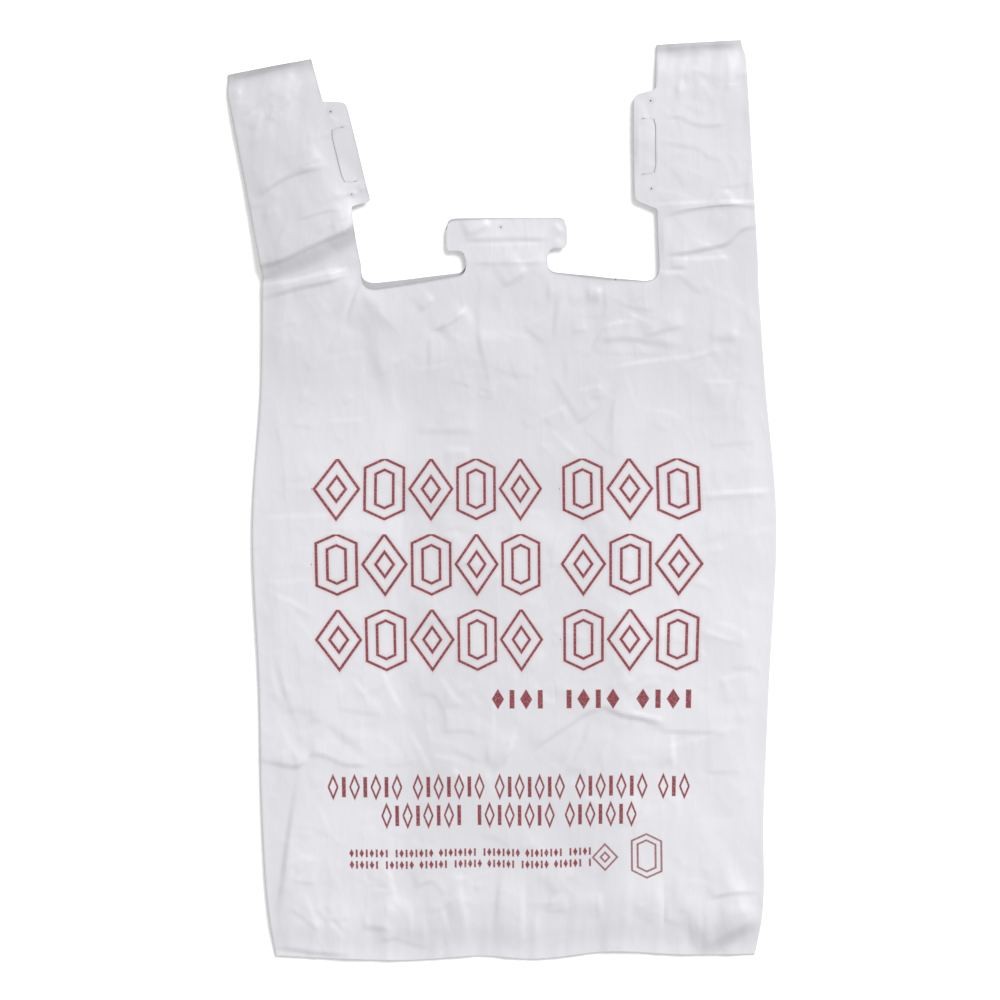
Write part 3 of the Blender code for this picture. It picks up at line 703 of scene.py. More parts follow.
def lay_out(points):
    """Where flat points come to lie on the table, seen from above: the bowed sides, the foot's
    waves, the front mouth's slip, the narrowed and leaning handles, the tucked foot of the left
    ear and the whole bag's turn."""
    x, y, z = points.T
    front = front_share(z)
    rise = through(EDGE_STATIONS, EDGE_RISE, x / HALF_WIDTH) * np.exp(-y / EDGE_FADE)
    near_mouth = smooth((y - MOUTH_HEIGHT + MOUTH_SLIP_LENGTH) / MOUTH_SLIP_LENGTH)
    near_mouth = near_mouth * (1 - smooth((y - MOUTH_AT_TAB - MOUTH_SLIP) / MOUTH_SLIP_LENGTH))
    slip = MOUTH_SLIP * bell(x + INNER_EDGE, MOUTH_SLIP_LENGTH)
    slip = slip + RIGHT_SLIP * bell(x - RIGHT_SLIP_AT, RIGHT_SLIP_LENGTH)
    laid_y = y - slip * near_mouth * front + rise
    up_handle = np.clip((y - MOUTH_HEIGHT) / (BAG_LENGTH - MOUTH_HEIGHT), 0, 1)
    from_fold = np.clip((HALF_WIDTH - np.abs(x)) / HANDLE_WIDTH, 0, 1)
    in_handle = smooth((np.abs(x) - TAB_WIDTH / 2) / (INNER_EDGE - EAR_REACH - TAB_WIDTH / 2))
    narrowed = HANDLE_NARROWING * up_handle**2 * from_fold * in_handle
    drawn_in = CORNER_DRAW * smooth(1 - (BAG_LENGTH - y) / CORNER_DRAW_LENGTH) ** 2 * (1 - from_fold)
    height = y / MOUTH_HEIGHT
    bows = [through(BOW_STATIONS, values, height) for values in (BOW_LEFT, BOW_RIGHT)]
    bow = np.where(x < 0, *bows)
    laid_x = x + np.sign(x) * (bow * (x / HALF_WIDTH) ** 2 + narrowed - drawn_in)
    laid_x = laid_x - TAB_DRIFT * smooth((y - MOUTH_HEIGHT) / MOUTH_RISE) * (1 - in_handle)
    laid_x, laid_y = lean_handle(laid_x, laid_y, -1, LEFT_LEAN, LEFT_PLEAT)
    laid_x, laid_y = lean_handle(laid_x, laid_y, 1, RIGHT_LEAN, 0.0)
    in_ear = np.clip((INNER_EDGE - np.abs(x)) / EAR_REACH, 0, 1)
    by_ear = smooth((INNER_EDGE + EAR_TUCK_EDGE - np.abs(x)) / EAR_TUCK_BLEND)
    by_ear = by_ear * smooth((np.abs(x) - CLEAR_OF_TAB) / TAB_BLEND) * (x < 0)
    tucked = LEFT_EAR_TUCK * (1 - EAR_TIP_HOLD * in_ear) * bell(y - EAR_TUCK_AT, EAR_TUCK_LENGTH)
    laid_y = laid_y + tucked * by_ear * smooth((y - MOUTH_AT_TAB) / EAR_TUCK_LENGTH - 1)
    turned_x = laid_x * math.cos(BAG_TURN) - laid_y * math.sin(BAG_TURN)
    turned_y = laid_x * math.sin(BAG_TURN) + laid_y * math.cos(BAG_TURN)
    middle_x = (BAG_LOW[0] + BAG_HIGH[0]) / 2 / MM
    middle_y = (BAG_LOW[1] + BAG_HIGH[1]) / 2 / MM
    turned_x = turned_x - (turned_x.min() + turned_x.max()) / 2 + middle_x
    turned_y = turned_y - (turned_y.min() + turned_y.max()) / 2 + middle_y
    return turned_x, turned_y


def front_share(z):
    """1 on the front ply, 0 on the plies under it, and between them round the side fold."""
    return np.clip((z - (STACK - PITCH)) / PLY_GAP, 0, 1)


def nearest_piece(x, y, line):
    """For each place, the piece of the line nearest to it: which it is, how far along the piece,
    how far aside (above 0 to the left of its way), and its way."""
    step = np.diff(line, axis=0)
    length = np.linalg.norm(step, axis=1)
    way = step / length[:, None]
    offset = np.column_stack([x, y])[:, None, :] - line[None, :-1]
    along = np.clip((offset * way).sum(axis=2), 0, length)
    gap = np.linalg.norm(offset - along[:, :, None] * way, axis=2)
    best = np.argmin(gap, axis=1)
    rows = np.arange(len(best))
    left = way[best, 0] * offset[rows, best, 1] - way[best, 1] * offset[rows, best, 0]
    return best, along[rows, best], np.sign(left) * gap[rows, best], way[best]


def crease_rise(x, y, tone, width, path):
    """The height that one crease adds at (x, y). Across the crease the film climbs over its
    width, smooth(d / width + 1/2), and beyond that it falls away as exp(-d / reach). It is high
    on the side of the light where the crease looks dark (tone below 0), else on the other side.
    Both ends of the path taper to nothing."""
    path = np.array(path, float).reshape(-1, 2)
    run = np.concatenate([[0], np.cumsum(np.linalg.norm(np.diff(path, axis=0), axis=1))])
    at = np.linspace(0, run[-1], 4 * len(path))
    line = np.column_stack([through(run, path[:, 0], at), through(run, path[:, 1], at)])
    width = min(width, WIDTH_SHARE * run[-1])
    reach = min(REACH_PER_WIDTH * width + REACH_MORE, REACH_SHARE * run[-1])
    low, high = line.min(axis=0) - 3 * reach, line.max(axis=0) + 3 * reach
    inside = (x > low[0]) & (x < high[0]) & (y > low[1]) & (y < high[1])
    best, along, aside, way = nearest_piece(x[inside], y[inside], line)
    whole = path[-1] - path[0]
    to_light = np.sign(whole[0] * LIGHT_SIDE[1] - whole[1] * LIGHT_SIDE[0]) or 1.0
    aside = aside * to_light * (1 if tone < 0 else -1)
    lit = np.abs(way[:, 0] * LIGHT_SIDE[1] - way[:, 1] * LIGHT_SIDE[0])
    done = (at[:-1][best] + along) / run[-1]
    taper = END_TAPER - LEVEL_TAPER * abs(whole[0]) / np.linalg.norm(whole)
    ends = smooth(done / taper) * smooth((1 - done) / taper)
    climb = smooth(aside / width + 0.5) * np.exp(-np.maximum(aside - width / 2, 0) / reach)
    height = abs(tone) / TONE_PER_SLOPE * width * min(1, WIDE_CREASE / width) ** WIDE_FALL
    rise = np.zeros(x.shape)
    rise[inside] = height * climb * ends / np.maximum(lit, LEAST_FACING)
    return rise


def random_creases(rng, count, tone, low, high):
    """Short bent creases in random places and directions, for the film's fine crinkle."""
    middle = np.column_stack([rng.uniform(a, b, count) for a, b in zip(low, high)])
    turn = rng.uniform(0, math.pi, count)
    half = rng.uniform(*CRINKLE_HALF, count)
    along = np.column_stack([np.cos(turn), np.sin(turn)]) * half[:, None]
    bend = half * rng.uniform(-CRINKLE_BEND, CRINKLE_BEND, count)
    aside = np.column_stack([-np.sin(turn), np.cos(turn)]) * bend[:, None]
    tones = rng.uniform(*CRINKLE_SHARE, count) * tone * rng.choice([-1, 1], count)
    widths = rng.uniform(*CRINKLE_WIDTH, count)
    paths = np.column_stack([middle - along, middle + aside, middle + along])
    return zip(tones, widths, paths)


def front_relief(x, y, flat, settings):
    """How far the front ply stands over its flat place: a low pillow that fades to the folds and
    seals, slow waves, gathers at both seals, the placed creases and the random ones, all held
    down towards the folds and seals."""
    rng = np.random.default_rng(settings.seed)
    from_side = HALF_WIDTH - np.abs(flat[:, 0])
    from_end = np.minimum(flat[:, 1], BAG_LENGTH - flat[:, 1])
    on_handle = smooth((flat[:, 1] - MOUTH_HEIGHT) / HANDLE_BLEND)
    rise = settings.pillow / MM * smooth(from_side / PILLOW_FADE) * smooth(from_end / PILLOW_FADE)
    rise = rise * (1 - (1 - HANDLE_PILLOW) * on_handle)
    waves = np.full(len(x), WAVE_LIFT)
    for length in WAVE_LENGTHS:
        turn, shift = rng.uniform(0, math.pi, 3), rng.uniform(0, 2 * math.pi, 3)
        for a, s in zip(turn, shift):
            phase = (x * math.cos(a) + y * math.sin(a)) * 2 * math.pi / length + s
            waves += length / WAVE_FLATNESS * np.sin(phase)
    gathers = np.full(len(x), GATHER_LIFT)
    for length in GATHER_LENGTHS:
        lean, shift = rng.uniform(-GATHER_LEAN, GATHER_LEAN), rng.uniform(0, 2 * math.pi)
        gathers += length / GATHER_FLATNESS * np.sin((x + lean * y) * 2 * math.pi / length + shift)
    rise += settings.waves * waves + settings.gathers * gathers * np.exp(-from_end / GATHER_FADE)
    for tone, width, *path in CREASES:
        rise += settings.creases * crease_rise(x, y, tone, width, path)
    low, high = (x.min(), y.min()), (x.max(), y.max())
    for tone, width, path in random_creases(rng, settings.crinkles, settings.crinkle_tone, low, high):
        rise += crease_rise(x, y, tone, width, path)
    at_fold = FOLD_HOLD + (HANDLE_HOLD - FOLD_HOLD) * on_handle
    held = at_fold + (1 - at_fold) * smooth(from_side / FOLD_HOLD_WIDTH)
    held = held * (SEAL_HOLD + (1 - SEAL_HOLD) * smooth(from_end / SEAL_HOLD_WIDTH))
    return np.maximum(rise, 0) * held


def lay_film(flat, settings):
    """Flat points to points on the table, in millimetres."""
    x, y = lay_out(flat)
    z = flat[:, 2].copy()
    share = front_share(z)
    on_front = share > 0
    relief = np.zeros(len(z))
    relief[on_front] = front_relief(x[on_front], y[on_front], flat[on_front], settings)
    from_end = np.minimum(flat[:, 1], BAG_LENGTH - flat[:, 1])
    z = z * (1 - SEAL_PRESS * (1 - smooth((from_end - SEAL_LENGTH) / LOFT_FADE)))
    return np.column_stack([x, y, z + share * relief])


# ---------------------------------------------------------------- from a sheet to closed film


def split_faces(quads):
    """Quads of four different corners, and triangles from those with one corner twice."""
    keep = quads != np.roll(quads, -1, axis=1)
    whole = keep.all(axis=1)
    return quads[whole], quads[~whole][keep[~whole]].reshape(-1, 3)


def directed_edges(faces):
    return np.column_stack([faces.reshape(-1), np.roll(faces, -1, axis=1).reshape(-1)])


def open_edges(edges, count):
    """The directed edges that have no partner running the other way."""
    code = edges[:, 0] * count + edges[:, 1]
    back = edges[:, 1] * count + edges[:, 0]
    return edges[~np.isin(code, back)]


def point_normals(points, faces):
    """The mean of the normals of the faces at each point, each as long as its face is large."""
    total = np.zeros(points.shape)
    for part in faces:
        if not len(part):
            continue
        p = points[part]
        cross = np.cross(p[:, 1] - p[:, 0], p[:, 2] - p[:, 0])
        if part.shape[1] == 4:
            cross += np.cross(p[:, 2] - p[:, 0], p[:, 3] - p[:, 0])
        for corner in part.T:
            for axis in range(3):
                total[:, axis] += np.bincount(corner, cross[:, axis], len(points))
    return total / np.maximum(np.linalg.norm(total, axis=1), 1e-12)[:, None]


def zip_edges(upper, upper_x, lower, lower_x):
    """Triangles that join two rows of points, both from left to right: each piece of the upper
    row goes to the nearest point of the lower row, and the other way about."""
    near = np.searchsorted((lower_x[1:] + lower_x[:-1]) / 2, upper_x)
    near[0], near[-1] = 0, len(lower) - 1
    first = np.column_stack([upper[1:], upper[:-1], lower[near[:-1]]])
    turn = np.searchsorted(near, np.arange(1, len(lower)))
    second = np.column_stack([lower[:-1], lower[1:], upper[turn]])
    return np.vstack([first, second])


def foot_rows(loop, x):
    """The foot's loop of points as its front row and its other points, both left to right."""
    turns = np.flatnonzero(np.diff(x[loop]) < 0)
    half = turns[0] + 1
    front = np.concatenate([loop[1 - half :], loop[:half]])
    return front, loop[half : len(loop) + 1 - half][::-1]


def across(loop, flat):
    """Triangles that close a level loop of the tube, from its front to its other plies."""
    front, rest = foot_rows(loop, flat[:, 0])
    at_back = np.abs(flat[rest, 2] - ply_mid(BACK)) < SAME
    beyond = np.where(np.arange(len(rest)) < len(rest) // 2, -FAR, FAR)
    return zip_edges(front, flat[front, 0], rest, np.where(at_back, flat[rest, 0], beyond))


def close_film(mid, flat, quads, foot, band, thickness):
    """The film's middle surface made two closed bodies that meet at MOUTH_BAND: below it the
    outer side with its foot and its upper end closed, and above it the outer side, the inner side
    and all the rims. Returns for each its points, their normals, flat places and faces."""
    faces = split_faces(quads)
    count = len(mid)
    normals = point_normals(mid, faces)
    points = np.vstack([mid + normals * thickness / 2, mid - normals * thickness / 2])
    normals, flat = np.vstack([normals, -normals]), np.vstack([flat, flat])
    high = flat[:count, 1] > MOUTH_BAND - SAME
    lower = [part[~high[part].all(axis=1)] for part in faces]
    upper = [part[high[part].all(axis=1)] for part in faces]
    rim = open_edges(np.vstack([directed_edges(part) for part in upper]), count)
    rims = np.column_stack([rim[:, 1], rim[:, 0], rim[:, 0] + count, rim[:, 1] + count])
    cut_edge = flat[rim[:, 0], 1] > MOUTH_BAND + 1
    bodies = (
        [*lower, across(foot, flat), across(band, flat)[:, ::-1]],
        [*upper, *(part[:, ::-1] + count for part in upper), rims],
    )
    made = []
    for parts in bodies:
        used = np.unique(np.concatenate([part.reshape(-1) for part in parts]))
        renumber = np.zeros(2 * count, np.int64)
        renumber[used] = np.arange(len(used))
        made.append((points[used], normals[used], flat[used], used < count,
                     np.isin(used, rim[cut_edge]), [renumber[part] for part in parts]))
    return made


def film_tone_and_painted_light(places, outside, on_front, on_rim):
    """How light the milky film looks, about 1, with painted light and shade in it: lighter where four
    plies lie under the front and on the tab, and painted light near the foot; greyer on the upper
    half, on the left handle and along the top seals; painted shade in the left handle's pleat, partly
    its thicker film, over the half fold, in the patches, round the left fold and at cut edges. The
    inside of a single ply is greyest, as painted shade."""
    x, y = places[:, 0], places[:, 1]
    aside, from_fold = np.abs(x), x + SIDE_FOLD
    tone = 1 + UPPER_TONE * smooth((y - UPPER_FROM) / UPPER_BLEND)
    # Painted light, lighter towards the foot.
    tone += FOOT_PAINTED_LIGHT * (1 - smooth(y / FOOT_FADE))
    below_handles = 1 - smooth((y - FOUR_PLIES_TOP) / FOUR_PLIES_FADE)
    tone += FOUR_PLIES_TONE * smooth((aside - FOUR_PLIES_FROM) / FOUR_PLIES_BLEND) * below_handles
    tone += TAB_TONE * smooth((y - TAB_FROM) / TAB_TONE_BLEND) * (aside < TAB_SIDE)
    # Painted shade in the left handle's pleat, partly its thicker film.
    off_pleat = np.abs(y - PLEAT_AT - PLEAT_RISE * from_fold)
    off_pleat = off_pleat / np.maximum(PLEAT_HALF - PLEAT_NARROWING * from_fold, LEAST_PLEAT)
    left_handle = LEFT_HANDLE_TONE * smooth((y - LEFT_HANDLE_FROM) / HANDLE_BLEND)
    tone += (left_handle + PLEAT_THICKNESS_AND_SHADE * smooth(PLEAT_SOFTNESS - off_pleat)) * (x < -BESIDE_TAB)
    # Painted shade over the half fold.
    past_fold = y - HALF_FOLD - HALF_FOLD_LEAN * x
    fading = np.exp(-np.maximum(past_fold, 0) / HALF_FOLD_FADE)
    tone += HALF_FOLD_SHADE * smooth(past_fold / HALF_FOLD_LINE) * fading
    # Patches of painted shade.
    for amount, middle_x, middle_y, half_width, half_height, lean in SHADE_PATCHES:
        off_x = x - middle_x
        tone += amount * bell(off_x, half_width) * bell(y - middle_y - lean * off_x, half_height)
    tone += SEAL_TONE * bell(BAG_LENGTH - y, SEAL_FADE) * (aside > BESIDE_TAB)
    # Painted shade on cut edges and round the left fold.
    tone += RIM_SHADE * on_rim
    tone += LEFT_FOLD_SHADE * smooth((LEFT_FOLD_FROM - from_fold) / LEFT_FOLD_WIDTH)
    # Painted shade on the inner side of the film.
    return np.where(outside, np.where(on_front, tone, 1.0), INSIDE_SHADE)


def film_body(name, points, normals, places, outside, on_rim, faces):
    """One closed body of film as an object, with its flat pattern as UV map and what the material
    reads; its normals are those of the whole sheet, so the bodies meet without a line."""
    mesh = bpy.data.meshes.new(name)
    mesh.from_pydata(points * MM, [], [f for part in faces for f in part.tolist()])
    mesh.update()
    corners = np.empty(len(mesh.loops), np.int64)
    mesh.loops.foreach_get("vertex_index", corners)
    pattern = mesh.uv_layers.new(name="pattern")
    pattern.uv.foreach_set("vector", (places[corners, :2] * MM).reshape(-1).astype(np.float32))
    on_front = outside & (places[:, 2] > ply_mid(FRONT) - SAME)
    tone = film_tone_and_painted_light(places, outside, on_front, on_rim)
    for attribute, values in (("printed", on_front), ("film_tone_and_painted_light", tone)):
        layer = mesh.attributes.new(attribute, "FLOAT", "POINT")
        layer.data.foreach_set("value", values.astype(np.float32))
    mesh.polygons.foreach_set("use_smooth", np.ones(len(mesh.polygons), bool))
    mesh.normals_split_custom_set_from_vertices(normals.tolist())
    body = bpy.data.objects.new(name, mesh)
    bpy.context.scene.collection.objects.link(body)
    return body


def make_film(settings):
    """The film cut, laid down and made solid, as the bag's body and its mouth, tab and handles."""
    flat, torn, quads, foot, band = make_pattern(settings.grid / MM, settings.hidden_grid / MM)
    for centre in PINS:
        for side in (-1, 1):
            quads = punch(flat, quads, (side * centre[0], centre[1]), settings.pin / MM / 2)
    quads = punch(flat, quads, TAB_PIN, settings.pin / MM / 2)
    open_slits(flat, torn, settings.slit / MM)
    mid = lay_film(flat, settings)
    bodies = close_film(mid, flat, quads, foot, band, settings.film / MM)
    lowest = min(body[0][:, 2].min() for body in bodies)
    for body in bodies:
        body[0][:, 2] += BAG_LOW[2] / MM - lowest
    return [film_body(name, *body) for name, body in zip(("film_bag", "film_handles"), bodies)]


# ---------------------------------------------------------------- materials


class Nodes:
    """Short calls that add nodes to one tree and link them."""

    def __init__(self, tree):
        self.tree = tree

    def add(self, kind, inputs=None, **settings):
        node = self.tree.nodes.new(kind)
        for name, value in settings.items():
            setattr(node, name, value)
        for name, value in (inputs or {}).items():
            socket = node.inputs[name]
            if isinstance(value, bpy.types.NodeSocket):
                self.tree.links.new(value, socket)
            else:
                socket.default_value = value
        return node

    def maths(self, operation, *values, clamp=False):
        inputs = dict(enumerate(values))
        return self.add("ShaderNodeMath", inputs, operation=operation, use_clamp=clamp).outputs[0]

    def plus(self, a, b, clamp=False):
        return self.maths("ADD", a, b, clamp=clamp)

    def minus(self, a, b, clamp=False):
        return self.maths("SUBTRACT", a, b, clamp=clamp)

    def times(self, a, b):
        return self.maths("MULTIPLY", a, b)


def soft(nodes, value, full, none):
    """1 where the value is at or below full, 0 at or above none, and smooth between."""
    return nodes.add("ShaderNodeMapRange", {
        "Value": value, "From Min": full, "From Max": none, "To Min": 1.0, "To Max": 0.0,
    }, interpolation_type="SMOOTHSTEP").outputs["Result"]


def within(nodes, value, low, high):
    """1 between low and high, 0 elsewhere."""
    return nodes.maths(
        "MULTIPLY", nodes.maths("GREATER_THAN", value, low), nodes.maths("LESS_THAN", value, high))


def cells(nodes, value, start, pitch):
    """Which cell of a row the value is in, and how far it is from that cell's middle."""
    along = nodes.maths("DIVIDE", nodes.minus(value, start), pitch)
    number = nodes.maths("FLOOR", along)
    offset = nodes.minus(nodes.minus(along, number), 0.5)
    return number, nodes.times(offset, pitch)


HEXAGON_SLOPE = 0.5
LOZENGE_SHARE, BAR_SHARE, BAR_HEIGHT = 0.42, 0.16, 0.92
SMALL_LINE = 0.45


def lozenge(nodes, x, y, half_width, half_height):
    """Distance to a lozenge's edge, below 0 inside: |x|/a + |y|/b - 1, scaled to millimetres."""
    across = nodes.maths("DIVIDE", nodes.maths("ABSOLUTE", x), half_width)
    up = nodes.maths("DIVIDE", nodes.maths("ABSOLUTE", y), half_height)
    scale = 1 / math.hypot(1 / half_width, 1 / half_height)
    return nodes.times(nodes.minus(nodes.plus(across, up), 1.0), scale)


def hexagon(nodes, x, y, half_width, half_height):
    """Distance to a tall hexagon's edge, below 0 inside: the larger of |x| - a and the distance
    to its sloping sides."""
    across = nodes.maths("ABSOLUTE", x)
    up = nodes.plus(nodes.maths("ABSOLUTE", y), nodes.times(across, HEXAGON_SLOPE))
    scale = 1 / math.hypot(1, HEXAGON_SLOPE)
    sloping = nodes.times(nodes.minus(up, half_height), scale)
    return nodes.maths("MAXIMUM", nodes.minus(across, half_width), sloping)


def outline(nodes, distance, inset):
    """Distance to the nearer of two lines: the shape's edge, and one that lies inset from it."""
    shifted = nodes.plus(distance, inset / 2)
    return nodes.maths("ABSOLUTE", nodes.minus(nodes.maths("ABSOLUTE", shifted), inset / 2))


def small_row(nodes, x, y, middle, left, right, pitch, half_height, gap_every, filled):
    """A row of narrow figures, lozenge and bar in turn, with one left out every so often."""
    number, across = cells(nodes, x, left, pitch)
    up = nodes.minus(y, middle)
    edge = lozenge(nodes, across, up, pitch * LOZENGE_SHARE, half_height)
    edge = edge if filled else nodes.minus(nodes.maths("ABSOLUTE", edge), SMALL_LINE)
    beside = nodes.minus(nodes.maths("ABSOLUTE", across), pitch * BAR_SHARE)
    over = nodes.minus(nodes.maths("ABSOLUTE", up), half_height * BAR_HEIGHT)
    bar = nodes.maths("MAXIMUM", beside, over)
    odd = nodes.maths("MODULO", number, 2.0)
    either = nodes.add("ShaderNodeMix", {0: odd, 2: edge, 3: bar}).outputs[0]
    place = nodes.maths("MODULO", nodes.plus(number, 0.5), float(gap_every))
    kept = nodes.maths("LESS_THAN", place, gap_every - 1.0)
    ink = nodes.times(soft(nodes, either, -0.15, 0.4), kept)
    return nodes.times(ink, within(nodes, x, left, right))


# The print's places on the flat pattern: rows of tall figures, small rows as middle height, left,
# right, pitch, half height, one figure left out in how many and whether filled, and marks as
# centre, half sizes and form.
PRINT_TILT = 0.006
ROWS_TOP = 304.4
ROW_PITCH = 46.0
ROW_HEIGHT = 36.8
FIGURE_PITCH = 26.6
LOZENGE_MARGIN, HEXAGON_MARGIN = 1.0, 2.3
FIGURE_INSET, MARK_INSET, MARK_INK = 6.0, 3.4, 0.85
FIRST_LEFT, FIRST_RIGHT = -114.5, 18.5
SECOND_LEFT, SECOND_RIGHT = 28.8, 108.6
SMALL_ROWS = (
    (157.6, -13.6, 106.4, 8.57, 6.0, 5, True),
    (104.2, -108.8, 103.6, 6.07, 6.6, 8, False),
    (86.8, -78.6, 73.1, 6.07, 6.6, 9, False),
    (64.0, -97.6, 46.9, 2.89, 2.4, 9, True),
    (57.0, -97.6, 46.9, 2.89, 2.4, 7, True),
)
MARKS = ((54.4, 60.0, 7.2, 8.0, lozenge), (78.8, 61.0, 8.6, 13.5, hexagon))


def print_group():
    """The print: three rows of tall outlined figures, a row of small solid ones, two rows of
    narrow outlined ones, two rows of tiny solid ones and two outlined marks. It reads the flat
    pattern in metres and puts out Ink, and Halo, the faint bleed of the ink about its lines."""
    tree = bpy.data.node_groups.new("carrier_print", "ShaderNodeTree")
    tree.interface.new_socket("Pattern", in_out="INPUT", socket_type="NodeSocketVector")
    tree.interface.new_socket("Ink", in_out="OUTPUT", socket_type="NodeSocketFloat")
    tree.interface.new_socket("Halo", in_out="OUTPUT", socket_type="NodeSocketFloat")
    nodes = Nodes(tree)
    place = nodes.add("NodeGroupInput").outputs["Pattern"]
    part = nodes.add("ShaderNodeSeparateXYZ", {"Vector": place})
    x = nodes.maths("DIVIDE", part.outputs["X"], MM)
    y = nodes.maths("DIVIDE", part.outputs["Y"], MM)
    y = nodes.plus(y, nodes.times(x, PRINT_TILT))

    second = nodes.maths("GREATER_THAN", x, (FIRST_RIGHT + SECOND_LEFT) / 2)
    left = nodes.plus(nodes.times(second, SECOND_LEFT - FIRST_LEFT), FIRST_LEFT)
    number, across = cells(nodes, x, left, FIGURE_PITCH)
    down, below = cells(nodes, nodes.times(y, -1.0), -ROWS_TOP, ROW_PITCH)
    up = nodes.plus(below, (ROW_PITCH - ROW_HEIGHT) / 2)
    kind = nodes.maths("MODULO", nodes.plus(nodes.plus(number, down), second), 2.0)
    half, tall = FIGURE_PITCH / 2, ROW_HEIGHT / 2
    shape = nodes.add("ShaderNodeMix", {
        0: kind, 2: lozenge(nodes, across, up, half - LOZENGE_MARGIN, tall),
        3: hexagon(nodes, across, up, half - HEXAGON_MARGIN, tall),
    }).outputs[0]
    line = outline(nodes, shape, FIGURE_INSET)
    in_rows = within(nodes, y, ROWS_TOP - 3 * ROW_PITCH, ROWS_TOP + 1)
    in_first = within(nodes, x, FIRST_LEFT - 0.5, FIRST_RIGHT)
    in_second = within(nodes, x, SECOND_LEFT - 0.5, SECOND_RIGHT)
    big = nodes.times(in_rows, nodes.maths("MAXIMUM", in_first, in_second))
    ink = nodes.times(soft(nodes, line, 0.55, 1.05), big)
    halo = nodes.times(soft(nodes, line, 0.8, 3.2), big)
    for row in SMALL_ROWS:
        ink = nodes.maths("MAXIMUM", ink, small_row(nodes, x, y, *row))
    for centre_x, centre_y, wide, high, form in MARKS:
        aside = nodes.minus(x, centre_x)
        over = nodes.minus(y, centre_y)
        line = outline(nodes, form(nodes, aside, over, wide, high), MARK_INSET)
        mark = nodes.times(soft(nodes, line, 0.4, 0.8), MARK_INK)
        ink = nodes.maths("MAXIMUM", ink, mark)
    nodes.add("NodeGroupOutput", {"Ink": ink, "Halo": halo})
    return tree


# The surface crinkle's ridges: noise scale, stretch, turn and weight.
RIDGES = ((55.0, (1.0, 0.3, 1.0), 0.12, 1.0), (130.0, (1.0, 0.4, 1.0), -0.25, 0.35))
RIDGE_STEEPNESS, RIDGE_POWER = 2.2, 3.0
BUMP_HEIGHT = 0.0006


def crinkle_group():
    """Fine crinkle of thin film: sharp ridges where two noises, drawn out up the bag, pass their
    middle value. It reads a place and puts out Height."""
    tree = bpy.data.node_groups.new("film_crinkle", "ShaderNodeTree")
    tree.interface.new_socket("Place", in_out="INPUT", socket_type="NodeSocketVector")
    tree.interface.new_socket("Height", in_out="OUTPUT", socket_type="NodeSocketFloat")
    nodes = Nodes(tree)
    place = nodes.add("NodeGroupInput").outputs["Place"]
    total = None
    for scale, stretch, turn, weight in RIDGES:
        turned = nodes.add("ShaderNodeMapping", {
            "Vector": place, "Scale": stretch, "Rotation": (0.0, 0.0, turn)}).outputs[0]
        noise = nodes.add("ShaderNodeTexNoise", {
            "Vector": turned, "Scale": scale, "Detail": 2.0, "Roughness": 0.55})
        from_middle = nodes.maths("ABSOLUTE", nodes.minus(noise.outputs["Fac"], 0.5))
        near_middle = nodes.minus(1.0, nodes.times(from_middle, RIDGE_STEEPNESS), clamp=True)
        ridge = nodes.times(nodes.maths("POWER", near_middle, RIDGE_POWER), weight)
        total = ridge if total is None else nodes.plus(total, ridge)
    nodes.add("NodeGroupOutput", {"Height": total})
    return tree


def film_material(settings):
    """Thin milky film: soft satin, a fine crinkle, the print on its front, painted light and shade."""
    material = bpy.data.materials.new("carrier_film")
    material.use_nodes = True
    tree = material.node_tree
    tree.nodes.clear()
    nodes = Nodes(tree)
    place = nodes.add("ShaderNodeTexCoord").outputs["Object"]
    pattern = nodes.add("ShaderNodeUVMap", uv_map="pattern").outputs["UV"]
    printed = nodes.add("ShaderNodeAttribute", attribute_name="printed").outputs["Fac"]
    on_bag = nodes.add("ShaderNodeGroup", node_tree=print_group())
    tree.links.new(pattern, on_bag.inputs["Pattern"])
    wear = nodes.add("ShaderNodeTexNoise", {"Vector": pattern, "Scale": 900.0, "Detail": 2.0})
    thin = nodes.add("ShaderNodeMapRange", {
        "Value": wear.outputs["Fac"], "From Min": 0.3, "From Max": 0.5, "To Min": 0.75, "To Max": 0.97})
    ink = nodes.times(nodes.times(on_bag.outputs["Ink"], thin.outputs[0]), printed)
    halo = nodes.times(nodes.times(on_bag.outputs["Halo"], settings.bleed), printed)
    cloud = nodes.add("ShaderNodeTexNoise", {"Vector": place, "Scale": 14.0, "Detail": 3.0})
    milky = nodes.add("ShaderNodeMapRange", {
        "Value": cloud.outputs["Fac"], "From Min": 0.3, "From Max": 0.7,
        "To Min": 0.975, "To Max": 1.02})
    # The film's tone with its painted light and shade, read from the mesh attribute.
    tone = nodes.add("ShaderNodeAttribute", attribute_name="film_tone_and_painted_light").outputs["Fac"]
    film = nodes.add("ShaderNodeVectorMath", {
        0: settings.film_colour, "Scale": nodes.times(milky.outputs[0], tone),
    }, operation="SCALE").outputs[0]
    bled = nodes.add("ShaderNodeMix", {
        0: halo, 6: film, 7: (*settings.bleed_colour, 1)}, data_type="RGBA").outputs[2]
    colour = nodes.add("ShaderNodeMix", {
        0: ink, 6: bled, 7: (*settings.ink, 1)}, data_type="RGBA").outputs[2]
    crinkle = nodes.add("ShaderNodeGroup", node_tree=crinkle_group())
    tree.links.new(place, crinkle.inputs["Place"])
    bump = nodes.add("ShaderNodeBump", {
        "Height": crinkle.outputs["Height"], "Strength": settings.crinkle, "Distance": BUMP_HEIGHT})
    surface = nodes.add("ShaderNodeBsdfPrincipled", {
        "Base Color": colour, "Roughness": settings.roughness, "Specular IOR Level": 0.4,
        "Normal": bump.outputs["Normal"], "IOR": 1.5})
    nodes.add("ShaderNodeOutputMaterial", {"Surface": surface.outputs[0]})
    return material


